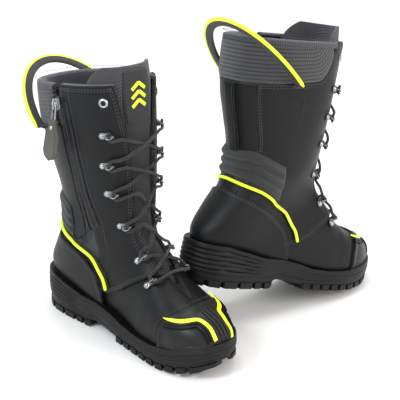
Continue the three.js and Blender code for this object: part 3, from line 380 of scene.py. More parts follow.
def strip(path, left, right, low, high, step=3.0, round_off=0.5, relief=None, finish=0):
    """A strip along a line on the skin, from one distance beside it to another."""
    near, far = beside(path, right), beside(path, left)
    return panel(band(near, far), low, high, step, round_off, relief, finish)


def sweep(points, profile, closed=False, finish=0, ups=None):
    """A tube along points, whose section is a ring of (sideways, outwards) offsets, or one for each point."""
    points = np.asarray(points, float)
    count = len(points)
    if closed:
        along = np.roll(points, -1, 0) - np.roll(points, 1, 0)
    else:
        along = np.gradient(points, axis=0)
    along = unit(along)
    if ups is None:
        up = np.zeros_like(points)
        first = np.eye(3)[np.argmin(np.abs(along[0]))]
        up[0] = unit(first - along[0] * (first @ along[0]))
        for i in range(1, count):
            up[i] = unit(up[i - 1] - along[i] * (up[i - 1] @ along[i]))
    else:
        up = unit(ups - along * (ups * along).sum(1, keepdims=True))
    side = np.cross(along, up)
    profile = np.asarray(profile, float)
    if profile.ndim == 2:
        profile = np.broadcast_to(profile, (count,) + profile.shape)
    ring = (points[:, None] + side[:, None] * profile[..., :1] + up[:, None] * profile[..., 1:])
    sides = profile.shape[1]
    run = np.concatenate([[0], np.cumsum(np.linalg.norm(np.diff(points, axis=0), axis=1))])
    around = np.concatenate([[0], np.cumsum(np.linalg.norm(np.diff(profile.mean(0), axis=0), axis=1))])
    cloth = np.stack(np.broadcast_arrays(around[None], run[:, None]), -1)
    rows = ring if not closed else np.concatenate([ring, ring[:1]])
    if closed:
        shape = Shape(ring, np.vstack([lattice(count, sides, wrap=True), np.stack([
            (count - 1) * sides + np.arange(sides), (count - 1) * sides + (np.arange(sides) + 1) % sides,
            (np.arange(sides) + 1) % sides, np.arange(sides)], -1)]), cloth=cloth, finish=finish)
        return shape.outward()
    ends = np.stack([points[0], points[-1]])
    shape = Shape(np.vstack([rows.reshape(-1, 3), ends]), lattice(count, sides, wrap=True),
                  cloth=np.vstack([cloth.reshape(-1, 2), [[0, 0], [0, run[-1]]]]), finish=finish)
    k = np.arange(sides)
    first, last = count * sides, count * sides + 1
    tris = np.vstack([np.stack([np.full(sides, first), (k + 1) % sides, k], -1),
                      np.stack([np.full(sides, last), (count - 1) * sides + k,
                                (count - 1) * sides + (k + 1) % sides], -1)])
    shape.tris = tris
    shape.tri_finish = np.full(len(tris), finish)
    return shape.outward()


def circle(radius, sides=12, flat=1.0):
    turn = (np.arange(sides) + 0.5) * 2 * math.pi / sides
    return np.stack([np.cos(turn) * radius, np.sin(turn) * radius * flat], -1)


def tapered(points, radius, sides=12, round_ends=2):
    """A round tube whose ends close in a few short rings."""
    points = np.asarray(points, float)
    scale = np.ones(len(points))
    for k in range(round_ends):
        share = math.sqrt(1 - (1 - (k + 0.3) / (round_ends + 0.3)) ** 2)
        scale[k] = scale[-1 - k] = share
    profile = circle(radius, sides)[None] * scale[:, None, None]
    return sweep(points, profile)


def turned(profile, sides=24, finish=0):
    """A solid turned about z from (radius, height) points that start and end on the axis or meet."""
    profile = np.asarray(profile, float)
    turn = np.arange(sides) * 2 * math.pi / sides
    points = np.stack([profile[:, :1] * np.cos(turn), profile[:, :1] * np.sin(turn),
                       np.broadcast_to(profile[:, 1:], (len(profile), sides))], -1)
    return Shape(points, lattice(len(profile), sides, wrap=True), finish=finish).outward()


def centripetal(points, count, closed=False):
    """Points along a smooth line through others, an even share of the line's own parameter apart."""
    points = np.asarray(points, float)
    n = len(points)
    spans = n if closed else n - 1
    p = np.linspace(0, spans, count, endpoint=not closed)
    i = np.clip(p.astype(int), 0, spans - 1)
    f = (p - i)[:, None]
    if closed:
        a, b, c, d = (points[(i + k) % n] for k in (-1, 0, 1, 2))
    else:
        ends = np.vstack([2 * points[0] - points[1], points, 2 * points[-1] - points[-2]])
        a, b, c, d = (ends[i + k] for k in (0, 1, 2, 3))
    gap = [np.maximum(np.linalg.norm(q - r, axis=1, keepdims=True) ** 0.5, 1e-4)
           for q, r in ((b, a), (c, b), (d, c))]
    leave = ((b - a) / gap[0] - (c - a) / (gap[0] + gap[1]) + (c - b) / gap[1]) * gap[1]
    reach = ((c - b) / gap[1] - (d - b) / (gap[1] + gap[2]) + (d - c) / gap[2]) * gap[1]
    return (b + leave * f + (3 * (c - b) - 2 * leave - reach) * f ** 2
            + (2 * (b - c) + leave + reach) * f ** 3)


def even(points, count, closed=False):
    """Points an even distance apart along a line of points."""
    points = np.asarray(points, float)
    loop = np.vstack([points, points[:1]]) if closed else points
    run = np.concatenate([[0], np.cumsum(np.linalg.norm(np.diff(loop, axis=0), axis=1))])
    at = np.linspace(0, run[-1], count, endpoint=not closed)
    return np.stack([np.interp(at, run, loop[:, k]) for k in range(loop.shape[1])], -1)


def stitches(path, height, pitch=3.6, thread=0.42, long=2.7):
    """A row of thread stitches lying along a line on the skin."""
    count = max(2, int(length_of(path) / pitch))
    u = (np.arange(count) + 0.5) / count
    t, b = path(u)
    out = normal(t, b)
    middle = over(t, b, height)
    ahead = skin(*path(np.minimum(u + 0.3 / count, 1))) - skin(*path(np.maximum(u - 0.3 / count, 0)))
    ahead = unit(ahead - out * (ahead * out).sum(1, keepdims=True))
    side = np.cross(out, ahead)
    rings = [(-0.5, 0.25, -0.5), (-0.36, 0.85, 0.1), (0, 1.0, 0.35), (0.36, 0.85, 0.1), (0.5, 0.25, -0.5)]
    sides = 6
    turn = np.arange(sides) * 2 * math.pi / sides
    points = []
    for share, fat, lift in rings:
        ring = (middle[:, None] + ahead[:, None] * (share * long)
                + side[:, None] * (np.cos(turn) * thread * fat)[None, :, None]
                + out[:, None] * (np.sin(turn) * thread * fat + lift * thread)[None, :, None])
        points.append(ring)
    points = np.stack(points, 1).reshape(count, -1, 3)
    one = lattice(len(rings), sides, wrap=True)
    caps = np.array([[0, 1, 2, 3], [0, 3, 4, 5]])
    last = (len(rings) - 1) * sides
    one = np.vstack([one, caps[:, ::-1], caps + last])
    step = points.shape[1]
    quads = (one[None] + (np.arange(count) * step)[:, None, None]).reshape(-1, 4)
    return Shape(points, quads).outward()


def two_rows(path, first, second, height, **size):
    """Two rows of stitches beside an edge."""
    return stitches(beside(path, first), height, **size) + stitches(beside(path, second), height, **size)


# ---- finishes ----
class Link:
    """A node's output in a finish, on which Python's operators add Math nodes."""

    def __init__(self, finish, socket):
        self.finish = finish
        self.socket = socket

    def maths(self, operation, *values):
        return self.finish.node("ShaderNodeMath", {"operation": operation}, dict(enumerate(values)))

    def __add__(self, other):
        return self.maths("ADD", self, other)

    def __sub__(self, other):
        return self.maths("SUBTRACT", self, other)

    def __rsub__(self, other):
        return self.maths("SUBTRACT", other, self)

    def __mul__(self, other):
        return self.maths("MULTIPLY", self, other)

    def __truediv__(self, other):
        return self.maths("DIVIDE", self, other)

    def __pow__(self, other):
        return self.maths("POWER", self, other)

    def __gt__(self, other):
        return self.maths("GREATER_THAN", self, other)

    __radd__ = __add__
    __rmul__ = __mul__

    def sine(self):
        return self.maths("SINE", self)

    def size(self):
        return self.maths("ABSOLUTE", self)


class Finish:
    """A procedural material built round one Principled shader."""

    def __init__(self, name, colour, roughness, metallic=0.0, **constants):
        self.material = bpy.data.materials.new(name)
        self.material.use_nodes = True
        self.material.diffuse_color = (*colour, 1)
        self.tree = self.material.node_tree
        self.shader = self.tree.nodes["Principled BSDF"]
        self.colour = colour
        self.set("Base Color", (*colour, 1))
        self.set("Roughness", roughness)
        self.set("Metallic", metallic)
        for socket, value in constants.items():
            self.set(socket.replace("_", " ").title().replace("Ior", "IOR"), value)

    def set(self, socket, value):
        if isinstance(value, Link):
            self.tree.links.new(value.socket, self.shader.inputs[socket])
        else:
            self.shader.inputs[socket].default_value = value

    def node(self, kind, settings=None, inputs=None, output=0):
        node = self.tree.nodes.new(kind)
        for name, value in (settings or {}).items():
            if name == "stops":
                ramp = node.color_ramp.elements
                ends = [*ramp]
                for stop, (place, shade) in zip(ends + [ramp.new(0.5) for _ in value[2:]], value):
                    stop.position, stop.color = place, shade
            else:
                setattr(node, name, value)
        for name, value in (inputs or {}).items():
            if isinstance(value, Link):
                self.tree.links.new(value.socket, node.inputs[name])
            else:
                node.inputs[name].default_value = value
        return Link(self, node.outputs[output])

    def place(self):
        return self.node("ShaderNodeTexCoord", output="Object")

    def cloth(self, axis):
        """The cloth coordinate, in millimetres: 0 across, 1 along."""
        coordinate = self.node("ShaderNodeTexCoord", output="UV")
        return self.node("ShaderNodeSeparateXYZ", {}, {0: coordinate}, axis)

    def noise(self, scale, detail=3.0, rough=0.55, place=None):
        return self.node("ShaderNodeTexNoise", {}, {"Vector": place or self.place(), "Scale": scale,
                                                    "Detail": detail, "Roughness": rough}, "Fac")

    def cells(self, scale, feature="F1", place=None):
        return self.node("ShaderNodeTexVoronoi", {"feature": feature},
                         {"Vector": place or self.place(), "Scale": scale}, "Distance")

    def step(self, value, low, high, start=0.0, end=1.0):
        return self.node("ShaderNodeMapRange", {"interpolation_type": "SMOOTHSTEP"},
                         {"Value": value, "From Min": low, "From Max": high, "To Min": start, "To Max": end})

    def mix(self, share, first, second):
        colours = [(*c, 1) if isinstance(c, tuple) and len(c) == 3 else c for c in (first, second)]
        return self.node("ShaderNodeMix", {"data_type": "RGBA"}, {0: share, 6: colours[0], 7: colours[1]}, 2)

    def rim(self):
        return self.node("ShaderNodeAttribute", {"attribute_name": "rim"}, output="Fac")

    def bump(self, height, distance=0.0003, strength=1.0):
        self.set("Normal", self.node("ShaderNodeBump", {}, {"Strength": strength, "Distance": distance,
                                                            "Height": height}))
        return self


def shade(colour, factor):
    return tuple(c * factor for c in colour)


def leather_finish(name="boot leather", colour=(0.0052, 0.0055, 0.0062), roughness=0.42):
    f = Finish(name, colour, roughness, specular_ior_level=0.2)
    cloud, grain, fine = f.noise(14, 4), f.cells(760), f.noise(2600, 2)
    # Lighter in patches along each piece's rim: partly edge wear, partly a painted highlight where the edges
    # catch the light.
    worn_and_highlit_rim = f.step(f.rim(), 0.9, 0.15) * f.step(f.noise(160, 3), 0.3, 0.62)
    ground = f.mix(f.step(cloud, 0.3, 0.7), shade(colour, 0.86), shade(colour, 1.16))
    f.set("Base Color", f.mix(worn_and_highlit_rim * 0.8, ground, shade(colour, 6.0)))
    f.set("Roughness", f.step(cloud, 0.3, 0.7, roughness - 0.05, roughness + 0.06) + (fine - 0.5) * 0.12)
    return f.bump(f.step(grain, 0.05, 0.75) * 0.6 + fine * 0.25 + f.noise(90, 4) * 0.9, 0.00028, 0.55)


def rubber_finish(name="sole rubber", colour=(0.0060, 0.0060, 0.0064), roughness=0.5):
    f = Finish(name, colour, roughness, specular_ior_level=0.22)
    dust, speck = f.noise(22, 5), f.noise(1500, 3)
    f.set("Base Color", f.mix(f.step(dust, 0.42, 0.75), colour, shade(colour, 1.5)))
    f.set("Roughness", f.step(dust, 0.35, 0.7, roughness - 0.06, roughness + 0.1))
    return f.bump(speck * 0.7 + f.noise(260, 3) * 0.5, 0.0002, 0.5)


def hi_vis_finish():
    colour = (0.72, 0.95, 0.012)
    # A weak emission in the trim's own colour makes it glow: a painted glow standing in for its fluorescence.
    f = Finish("fluorescent trim", colour, 0.36, coat_roughness=0.2, emission_strength=0.3)
    f.set("Coat Weight", 0.25)
    grime, grain = f.noise(70, 4), f.cells(900)
    tint_and_glow = f.mix(f.step(grime, 0.52, 0.85), colour, (0.50, 0.74, 0.02))
    f.set("Base Color", tint_and_glow)
    # The painted glow takes the same tint.
    f.set("Emission Color", tint_and_glow)
    f.set("Roughness", f.step(grime, 0.3, 0.7, 0.3, 0.46))
    return f.bump(grain + f.noise(420, 2) * 0.5, 0.00012, 0.35)


def knit_finish(name, light, dark, pitch, roughness=0.9, depth=0.0008):
    """A spacer knit: staggered dots with darker hollows between them."""
    f = Finish(name, light, roughness, sheen_weight=0.25, sheen_roughness=0.5)
    x, y = f.cloth(0), f.cloth(1)
    k = 2 * math.pi / pitch
    cross = (x * k).sine() * (y * (k * 0.58)).sine()
    other = (x * k + math.pi / 2).sine() * (y * (k * 0.58) + math.pi / 2).sine()
    dots = f.step(cross.size() + other.size() * 0.35, 0.2, 0.95)
    strand = (x * (k * 4) + (y * (k * 3)).sine()).sine()
    fuzz = f.noise(900, 3)
    f.set("Base Color", f.mix(dots * 0.85 + (fuzz - 0.5) * 0.5, dark, light))
    f.set("Roughness", f.step(fuzz, 0.3, 0.7, roughness - 0.06, 1.0))
    return f.bump(dots + strand * 0.14 + fuzz * 0.3, depth, 0.9)


def woven_finish(name, colour, pitch=1.0, roughness=0.75, fleck=None, diagonal=1.0, depth=0.0004):
    """Webbing, tape or braid: strands that cross at a slant, with flecks of another thread."""
    f = Finish(name, colour, roughness, sheen_weight=0.15)
    x, y = f.cloth(0), f.cloth(1)
    k = 2 * math.pi / pitch
    over_strand = (x * k + y * (k * diagonal)).sine()
    under_strand = (x * k - y * (k * diagonal)).sine()
    weave = over_strand * under_strand
    tone = f.mix(f.step(weave, -0.8, 0.8), shade(colour, 0.6), shade(colour, 1.5))
    if fleck:
        marks = (f.step(weave, 0.35, 0.6)) * f.step(f.noise(330, 1), 0.56, 0.6)
        tone = f.mix(marks, tone, fleck)
    f.set("Base Color", tone)
    f.set("Roughness", f.step(f.noise(500, 2), 0.3, 0.7, roughness - 0.08, roughness + 0.12))
    return f.bump(weave * 0.8 + f.noise(1400, 2) * 0.4, depth, 0.8)


def steel_finish(name, colour, roughness):
    f = Finish(name, colour, roughness, 1.0)
    scuff, fine = f.noise(240, 4), f.noise(1800, 2)
    f.set("Base Color", f.mix(f.step(scuff, 0.35, 0.7), shade(colour, 0.75), shade(colour, 1.2)))
    f.set("Roughness", f.step(scuff, 0.3, 0.7, roughness - 0.08, roughness + 0.12))
    return f.bump(fine, 0.00008, 0.4)


def board_finish():
    f = Finish("pressed board", (0.42, 0.36, 0.26), 0.85)
    fibre = f.noise(420, 5)
    f.set("Base Color", f.mix(f.step(fibre, 0.35, 0.65), (0.34, 0.29, 0.2), (0.48, 0.42, 0.31)))
    return f.bump(fibre, 0.0003, 0.6)


LEATHER_BLACK = leather_finish()
RUBBER = rubber_finish()
GUARD_RUBBER = rubber_finish("toe guard rubber", (0.0110, 0.0111, 0.0118), 0.38)
# Near-black rubber for dark strips laid along the toe guard's recesses: painted shade standing in for the
# shadow in its grooves.
PAINTED_GROOVE_SHADE = rubber_finish("toe guard painted groove shade", (0.0012, 0.0012, 0.0013), 0.75)
HI_VIS = hi_vis_finish()
COLLAR_KNIT = knit_finish("collar knit", (0.074, 0.076, 0.086), (0.004, 0.004, 0.006), 5.4)
TONGUE_KNIT = knit_finish("tongue knit", (0.095, 0.092, 0.112), (0.007, 0.007, 0.010), 4.4, depth=0.0006)
LINING_KNIT = knit_finish("lining knit", (0.058, 0.063, 0.080), (0.020, 0.022, 0.030), 2.6, depth=0.0004)
PAD_CLOTH = knit_finish("ankle pad cloth", (0.022, 0.023, 0.026), (0.003, 0.003, 0.004), 3.0, 0.7, 0.0005)
BAND_CLOTH = woven_finish("tongue band cloth", (0.005, 0.005, 0.006), 0.9, 0.55, depth=0.0002)
WEBBING = woven_finish("loop webbing", (0.007, 0.007, 0.008), 1.6, 0.6)
BRAID = woven_finish("lace braid", (0.0035, 0.0040, 0.0035), 1.9, 0.62,
                     fleck=(0.075, 0.082, 0.036), depth=0.0005)
TAPE = woven_finish("zip tape", (0.012, 0.012, 0.013), 1.0, 0.8)
THREAD = woven_finish("seam thread", (0.030, 0.031, 0.034), 0.6, 0.6, depth=0.0001)
CHROME = steel_finish("bright steel", (0.42, 0.43, 0.45), 0.3)
GUNMETAL = steel_finish("gunmetal steel", (0.24, 0.245, 0.25), 0.3)
TEETH = steel_finish("blackened teeth", (0.07, 0.07, 0.075), 0.38)
TAB_LEATHER = leather_finish("pull tab leather", (0.085, 0.083, 0.070), 0.5)
BOARD = board_finish()


def show(name, shape, finishes, stands_for=(), body="boot", step=42):
    """Shows a piece on both boots, riding on that body and standing for those CAD nodes."""
    made = []
    for side, matrix in BOOTS.items():
        mesh = bpy.data.meshes.new(f"{side}_{name}")
        points = shape.points @ matrix[:3, :3].T + matrix[:3, 3]
        quads, tris = shape.quads, shape.tris
        if HANDS[side] < 0:
            quads, tris = quads[:, ::-1], tris[:, ::-1]
        corners = np.concatenate([quads.reshape(-1), tris.reshape(-1)])
        sizes = np.concatenate([np.full(len(quads), 4), np.full(len(tris), 3)])
        mesh.vertices.add(len(points))
        mesh.vertices.foreach_set("co", points.reshape(-1))
        mesh.loops.add(len(corners))
        mesh.loops.foreach_set("vertex_index", corners)
        mesh.polygons.add(len(sizes))
        mesh.polygons.foreach_set("loop_start", np.concatenate([[0], np.cumsum(sizes)[:-1]]))
        mesh.polygons.foreach_set("use_smooth", np.ones(len(sizes), bool))
        mesh.polygons.foreach_set("material_index", np.concatenate([shape.quad_finish, shape.tri_finish]))
        mesh.update(calc_edges=True)
        mesh.uv_layers.new(name="cloth").data.foreach_set("uv", shape.cloth[corners].reshape(-1))
        mesh.attributes.new("rim", "FLOAT", "POINT").data.foreach_set("value", shape.rim)
        mesh.validate()
        mesh.set_sharp_from_angle(angle=math.radians(step))
        for finish in finishes if isinstance(finishes, (list, tuple)) else [finishes]:
            mesh.materials.append(finish.material)
        piece = bpy.data.objects.new(f"{side}_{name}", mesh)
        bpy.context.collection.objects.link(piece)
        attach(piece, f"{side}_{body}")
        if stands_for:
            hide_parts(*[f"{side}_{node}" for node in stands_for])
        made.append(piece)
    return made


# ---- the sole ----
OUTLINE = [
    # x, lateral and medial half-widths of the rubber at its widest
    (-150, 0, 0), (-147, 17, 17), (-138, 28, 28), (-120, 38, 37.5), (-95, 42, 41), (-60, 42.5, 40.5),
    (-25, 44, 40), (10, 48.5, 42.5), (45, 53, 47), (70, 53.5, 50), (95, 50.5, 50.5), (118, 43, 46.5),
    (136, 31, 38), (149, 14, 25), (156, -6, 6),
]
LUG_CUTS = [-136, -118, -95, -72, -57, -41]
FORE_CUTS = [4 + 15.5 * k for k in range(9)]
CUT_HALF = 2.5


def outline(count=240):
    loop = [(x, lateral) for x, lateral, _ in OUTLINE] + [(x, -m) for x, _, m in OUTLINE[-2:0:-1]]
    return even(centripetal(loop, 1200, closed=True), count, closed=True)


def inset(loop, distance):
    run = unit(np.roll(loop, -1, 0) - np.roll(loop, 1, 0))
    distance = np.asarray(distance) * np.ones(len(loop))
    return np.stack([loop[:, 0] + run[:, 1] * distance, loop[:, 1] - run[:, 0] * distance], -1)


def heights(*pairs):
    x, z = zip(*pairs)
    return lambda at: np.interp(at, x, z)


RAND_TOP = heights((-156, 50), (-118, 50), (-83, 43), (-60, 38), (-31, 37), (-3, 32), (16, 27), (45, 25),
                   (77, 26), (104, 31), (130, 38), (156, 43))
RAND_FOOT = heights((-156, 15), (-50, 15), (-36, 19), (-20, 17), (10, 12), (90, 12), (130, 18), (156, 27))
TREAD = heights((-156, 3), (-146, 0), (-46, 0), (-38, 12), (-22, 10), (-8, 2), (6, 0), (88, 0), (120, 5),
                (140, 11), (156, 19))
WEB = heights((-156, 9), (-146, 7), (-46, 7), (-38, 12.2), (-22, 10.3), (-8, 8), (6, 6.5), (88, 6.5),
              (120, 11.5), (140, 16.5), (156, 23))


def ring(loop, distance, z):
    flat = inset(loop, distance)
    return np.concatenate([flat, np.broadcast_to(np.asarray(z, float), (len(loop),))[:, None]], 1)


def capped(rings, close_first=True, close_last=True):
    """A solid between stacked rings, closed by strips between the outline's two sides."""
    rings = np.array(rings)
    count, sides = rings.shape[:2]
    quads = [lattice(count, sides, wrap=True)]
    k = np.arange(1, sides // 2 - 1)
    lid = np.stack([k, k + 1, sides - k - 1, sides - k], -1)
    tris = []
    for first, wanted in ((0, close_first), ((count - 1) * sides, close_last)):
        if wanted:
            flip = slice(None, None, -1) if first == 0 else slice(None)
            quads.append((lid + first)[:, flip])
            tris.append((np.array([[0, 1, sides - 1], [sides // 2, sides // 2 + 1, sides // 2 - 1]])
                         + first)[:, flip])
    return Shape(rings, np.vstack(quads), np.vstack(tris) if tris else ()).outward()


def lug(corners, chamfer=1.2):
    """One rubber lug from its plan outline, chamfered where it meets the ground."""
    corners = np.asarray(corners, float)
    middle = corners.mean(0)
    shrink = middle + (corners - middle) * (1 - chamfer / np.maximum(
        np.linalg.norm(corners - middle, axis=1, keepdims=True), chamfer * 1.5))
    base, low = WEB(corners[:, 0]) + 1.2, TREAD(corners[:, 0])
    rings = [np.column_stack([shrink, low]), np.column_stack([corners, low + chamfer * 0.8]),
             np.column_stack([corners, base])]
    n = len(corners)
    shape = Shape(np.vstack(rings + [[[*middle, TREAD(middle[0])]], [[*middle, WEB(middle[0]) + 1.2]]]),
                  lattice(3, n, wrap=True))
    k = np.arange(n)
    shape.tris = np.vstack([np.stack([k, (k + 1) % n, np.full(n, 3 * n)], -1),
                            np.stack([2 * n + (k + 1) % n, 2 * n + k, np.full(n, 3 * n + 1)], -1)])
    shape.tri_finish = np.zeros(len(shape.tris), int)
    return shape.outward()


def outsole():
    loop = outline()
    upper, tread = RAND_FOOT(loop[:, 0]), WEB(loop[:, 0])
    middle = (upper + tread) / 2
    body = capped([ring(loop, 4.0, tread), ring(loop, 2.6, tread + 0.5), ring(loop, 1.9, middle),
                   ring(loop, 1.7, upper), ring(loop, 2.6, upper + 0.8)])
    sides = {}
    for side in (1, -1):
        edge = loop[loop[:, 1] * side > -6.5 * side * (loop[:, 0] > 150)]
        edge = edge[edge[:, 1] * side >= 0] if side > 0 else edge[edge[:, 1] <= 0]
        order = np.argsort(edge[:, 0])
        sides[side] = edge[order]
    shapes = [body]
    stops = [-150.0] + LUG_CUTS + [None] + FORE_CUTS + [153.0]
    for first, last in zip(stops, stops[1:]):
        if first is None or last is None:
            continue
        x0 = first + (CUT_HALF if first > -150 else 0.6)
        x1 = last - (CUT_HALF if last < 153 else 1.5)
        heel = x1 < -40
        for side in (1, -1):
            edge = sides[side]
            xs = np.linspace(x0, x1, 6)
            ys = np.interp(xs, edge[:, 0], edge[:, 1]) - side * 1.3
            reach = 13.0 if heel else 17.0
            skew = 3.0 if heel else 4.5
            inner = [(x1 - skew * 0.4, ys[-1] - side * min(reach, abs(ys[-1]) * 0.6)),
                     (x0 - skew * 0.4, ys[0] - side * min(reach, abs(ys[0]) * 0.6))]
            if abs(ys[0]) < 4 and abs(ys[-1]) < 4:
                continue
            shapes.append(lug(list(zip(xs, ys)) + inner))
            if not heel and x1 < 135:
                half = max(abs(ys.min()), abs(ys.max())) - reach - 4
                block = [(x0 + 1, side * 2.6), (x1 - 1, side * 2.6), (x1 - 2.5, side * half),
                         (x0 - 2.5, side * half)]
                shapes.append(lug(block))
            elif heel and -130 < x0 and abs(ys[0]) > 25:
                block = [(x0 + 1, side * 3), (x1 - 1, side * 3), (x1 - 2, side * 21), (x0 - 2, side * 21)]
                shapes.append(lug(block))
    show("outsole_rubber", joined(shapes), RUBBER, ["outsole"], step=35)


def midsole():
    """The rubber wall round the upper, grooved along its side and deeply ribbed at the heel."""
    loop = outline(420)
    foot, top = RAND_FOOT(loop[:, 0]) + 0.3, RAND_TOP(loop[:, 0])
    x = loop[:, 0]
    heel = smooth((-52 - x) / 30)
    fore = smooth((x + 20) / 25)
    rings = []
    shares = np.linspace(0, 1, 46)
    for share in shares:
        swell = np.interp(share, [0, 0.12, 0.35, 0.85, 1], [1.9, 0.7, 0.0, 0.5, 1.3])
        ribs = np.abs(np.sin(share * math.pi * 6.0 + 0.25 * np.sin(x / 13)))
        heel_cut = 1.9 * (1 - ribs ** 0.7) * smooth((share - 0.08) / 0.1) * smooth((0.97 - share) / 0.08)
        fore_cut = 0
        for groove in (0.3, 0.56):
            fore_cut = fore_cut + 0.9 * np.exp(-((share - groove) / 0.055) ** 2)
        upper_lip = 0.55 * np.exp(-((share - 0.84) / 0.035) ** 2)
        rings.append(ring(loop, swell + heel * heel_cut + fore * fore_cut + (1 - heel) * upper_lip,
                          foot + (top - foot) * share))
    rings += [ring(loop, 1.9, top + 0.45), ring(loop, 2.8, top + 0.5), ring(loop, 4.2, top - 0.3),
              ring(loop, 12.5, top - 1.5), ring(loop, 12.5, foot)]
    shape = Shape(np.array(rings), lattice(len(rings), len(loop), wrap=True))
    bottom = np.stack([np.roll(np.arange(len(loop)), -1), np.arange(len(loop)),
                       np.arange(len(loop)) + (len(rings) - 1) * len(loop),
                       np.roll(np.arange(len(loop)), -1) + (len(rings) - 1) * len(loop)], -1)
    shape.quads = np.vstack([shape.quads, bottom])
    shape.quad_finish = np.zeros(len(shape.quads), int)
    show("midsole_rubber", shape.outward(), RUBBER, ["midsole"], step=50)


# ---- the upper ----
def tuck(t, depth=5.0):
    return angle_at_height(t, RAND_TOP(skin(t, np.full(np.shape(t), 50.0))[..., 0]) - depth)


SEAM = [(58, 99), (40, 88), (21, 76), (8, 66), (-8, 58), (-24, 54), (-40, 54)]


def wrapped(rear, foot_depth, low_angle, swing=55.0):
    """Places over the toe: from one side's foot, over the top, to the other's, back to a rear line."""
    def place(u, v):
        rough = swing + (360 - 2 * swing) * u
        t = 0.3 + (rear(rough) - 0.3) * v
        foot = np.maximum(tuck(t, foot_depth), low_angle)
        return t, foot + (360 - 2 * foot) * u
    return place


def vamp():
    seam = np.array([spot(x, z) for x, z in SEAM])

    def rear(b):
        side = np.minimum(b, 360 - b)
        share = clamp((side - 60) / (166 - 60))
        t = np.interp((1 - share) * (len(seam) - 1), np.arange(len(seam)), seam[:, 0]) + 0.3
        return np.where(side > 172, THROAT - 0.25, t)

    def high(u, v):
        return -GRIP - 2.1 * clamp((v - 0.7) / 0.3)

    place = wrapped(rear, 5, 40)
    shape = panel(place, lambda u, v: high(u, v) - VAMP, high, 2.6, 0.9,
                  lambda t, b, p, rim: 0.35 * np.sin(p[..., 0] / 5.5) * smooth((t - 6.2) / 0.5)
                  * smooth((7.6 - t) / 0.8))
    show("vamp_leather", shape, LEATHER_BLACK, ["vamp"])


def quarter_front(side):
    return [(t, side * float(angle_at_width(t, lacing_gap(t)))) for t in
            (7.25, 8.2, 9.5, 11.5, 14, 16.5, 18.5, SHAFT_TOP)]


def lacing_gap(t):
    return 9 + 6 * clamp((t - THROAT) / 2) + 15 * clamp((t - 16) / 4) ** 1.5


STAY_TOP = spot(-121, 246)
STAY_FOOT = spot(-96, 160)
STAY_MIDDLE = ((STAY_FOOT[0] + STAY_TOP[0]) / 2, (STAY_FOOT[1] + STAY_TOP[1]) / 2)
COLLAR_FRONT = [spot(-27, 300), spot(-26, 282), spot(-36, 263)]
COLLAR_SEAM = [spot(-60, 256), spot(-90, 251)]
COLLAR_BACK = spot(-134, 244)[0]
ZIP_TOP = np.array([-66.0, 292.0])
ZIP_FOOT = np.array([-38.0, 132.0])


def zip_line(u):
    x, z = ZIP_TOP + (ZIP_FOOT - ZIP_TOP) * u
    return mirror(spot(x, z))


ZIP = curve([zip_line(u) for u in np.linspace(0, 1, 9)])
EMBOSS = [spot(-70, 210), spot(-70, 232)]


def slot_angle(t):
    return math.degrees(ZIP_SLOT / 2 / (float(section(t)[4]) * 1.35))


def zip_edge(side):
    """The leather's edge in front of (-1) or behind (1) the zip, from its top down."""
    places = [zip_line(u) for u in (0, 0.25, 0.5, 0.75, 1)]
    return [(t, b + side * slot_angle(t)) for t, b in places]


def embossed(t, b, points, rim):
    """A plain raised frame with three bars, pressed into the leather."""
    middle = skin(*EMBOSS[0]) * 0.5 + skin(*EMBOSS[1]) * 0.5
    away = points - middle
    dx, dz = away[..., 0], away[..., 2]
    frame_line = np.maximum(np.abs(dx) - 11, np.abs(dz) - 12.5)
    on_side = (np.abs(b) < 150) * (b > 0)
    line = np.exp(-(frame_line / 0.9) ** 2)
    bars = sum(np.exp(-((dz - k) / 1.3) ** 2) * (np.abs(dx) < 7) for k in (-6, 0, 6))
    return on_side * (0.55 * line + 0.5 * bars)


def quarter_lateral():
    start = curve(quarter_front(1))
    upper = [start(1), (SHAFT_TOP - 0.02, COLLAR_FRONT[0][1] + 6), *COLLAR_FRONT[1:], *COLLAR_SEAM, STAY_TOP]
    top = curve(upper)
    end = curve([(12.7, 22), (13.6, 22), STAY_FOOT, STAY_MIDDLE, STAY_TOP])
    bottom = curve([start(0), *[spot(*p) for p in SEAM[1:]], (10.6, 62), (11.5, 42), end(0)])
    place = patch(bottom, top, start, end)
    shape = panel(place, 0, LEATHER, 1.5, 0.8, embossed)
    rows = (two_rows(part_of(start, 0.02, 0.99), -3.2, -5.6, LEATHER)
            + two_rows(part_of(top, 0.0, 0.97), -3.2, -5.6, LEATHER)
            + two_rows(part_of(bottom, 0.01, 0.6), 3.0, 5.2, LEATHER)
            + two_rows(part_of(end, 0.3, 0.98), 2.6, 4.8, LEATHER))
    show("quarter_lateral_leather", shape, LEATHER_BLACK, ["quarter_lateral"])
    show("quarter_lateral_thread", rows, THREAD)


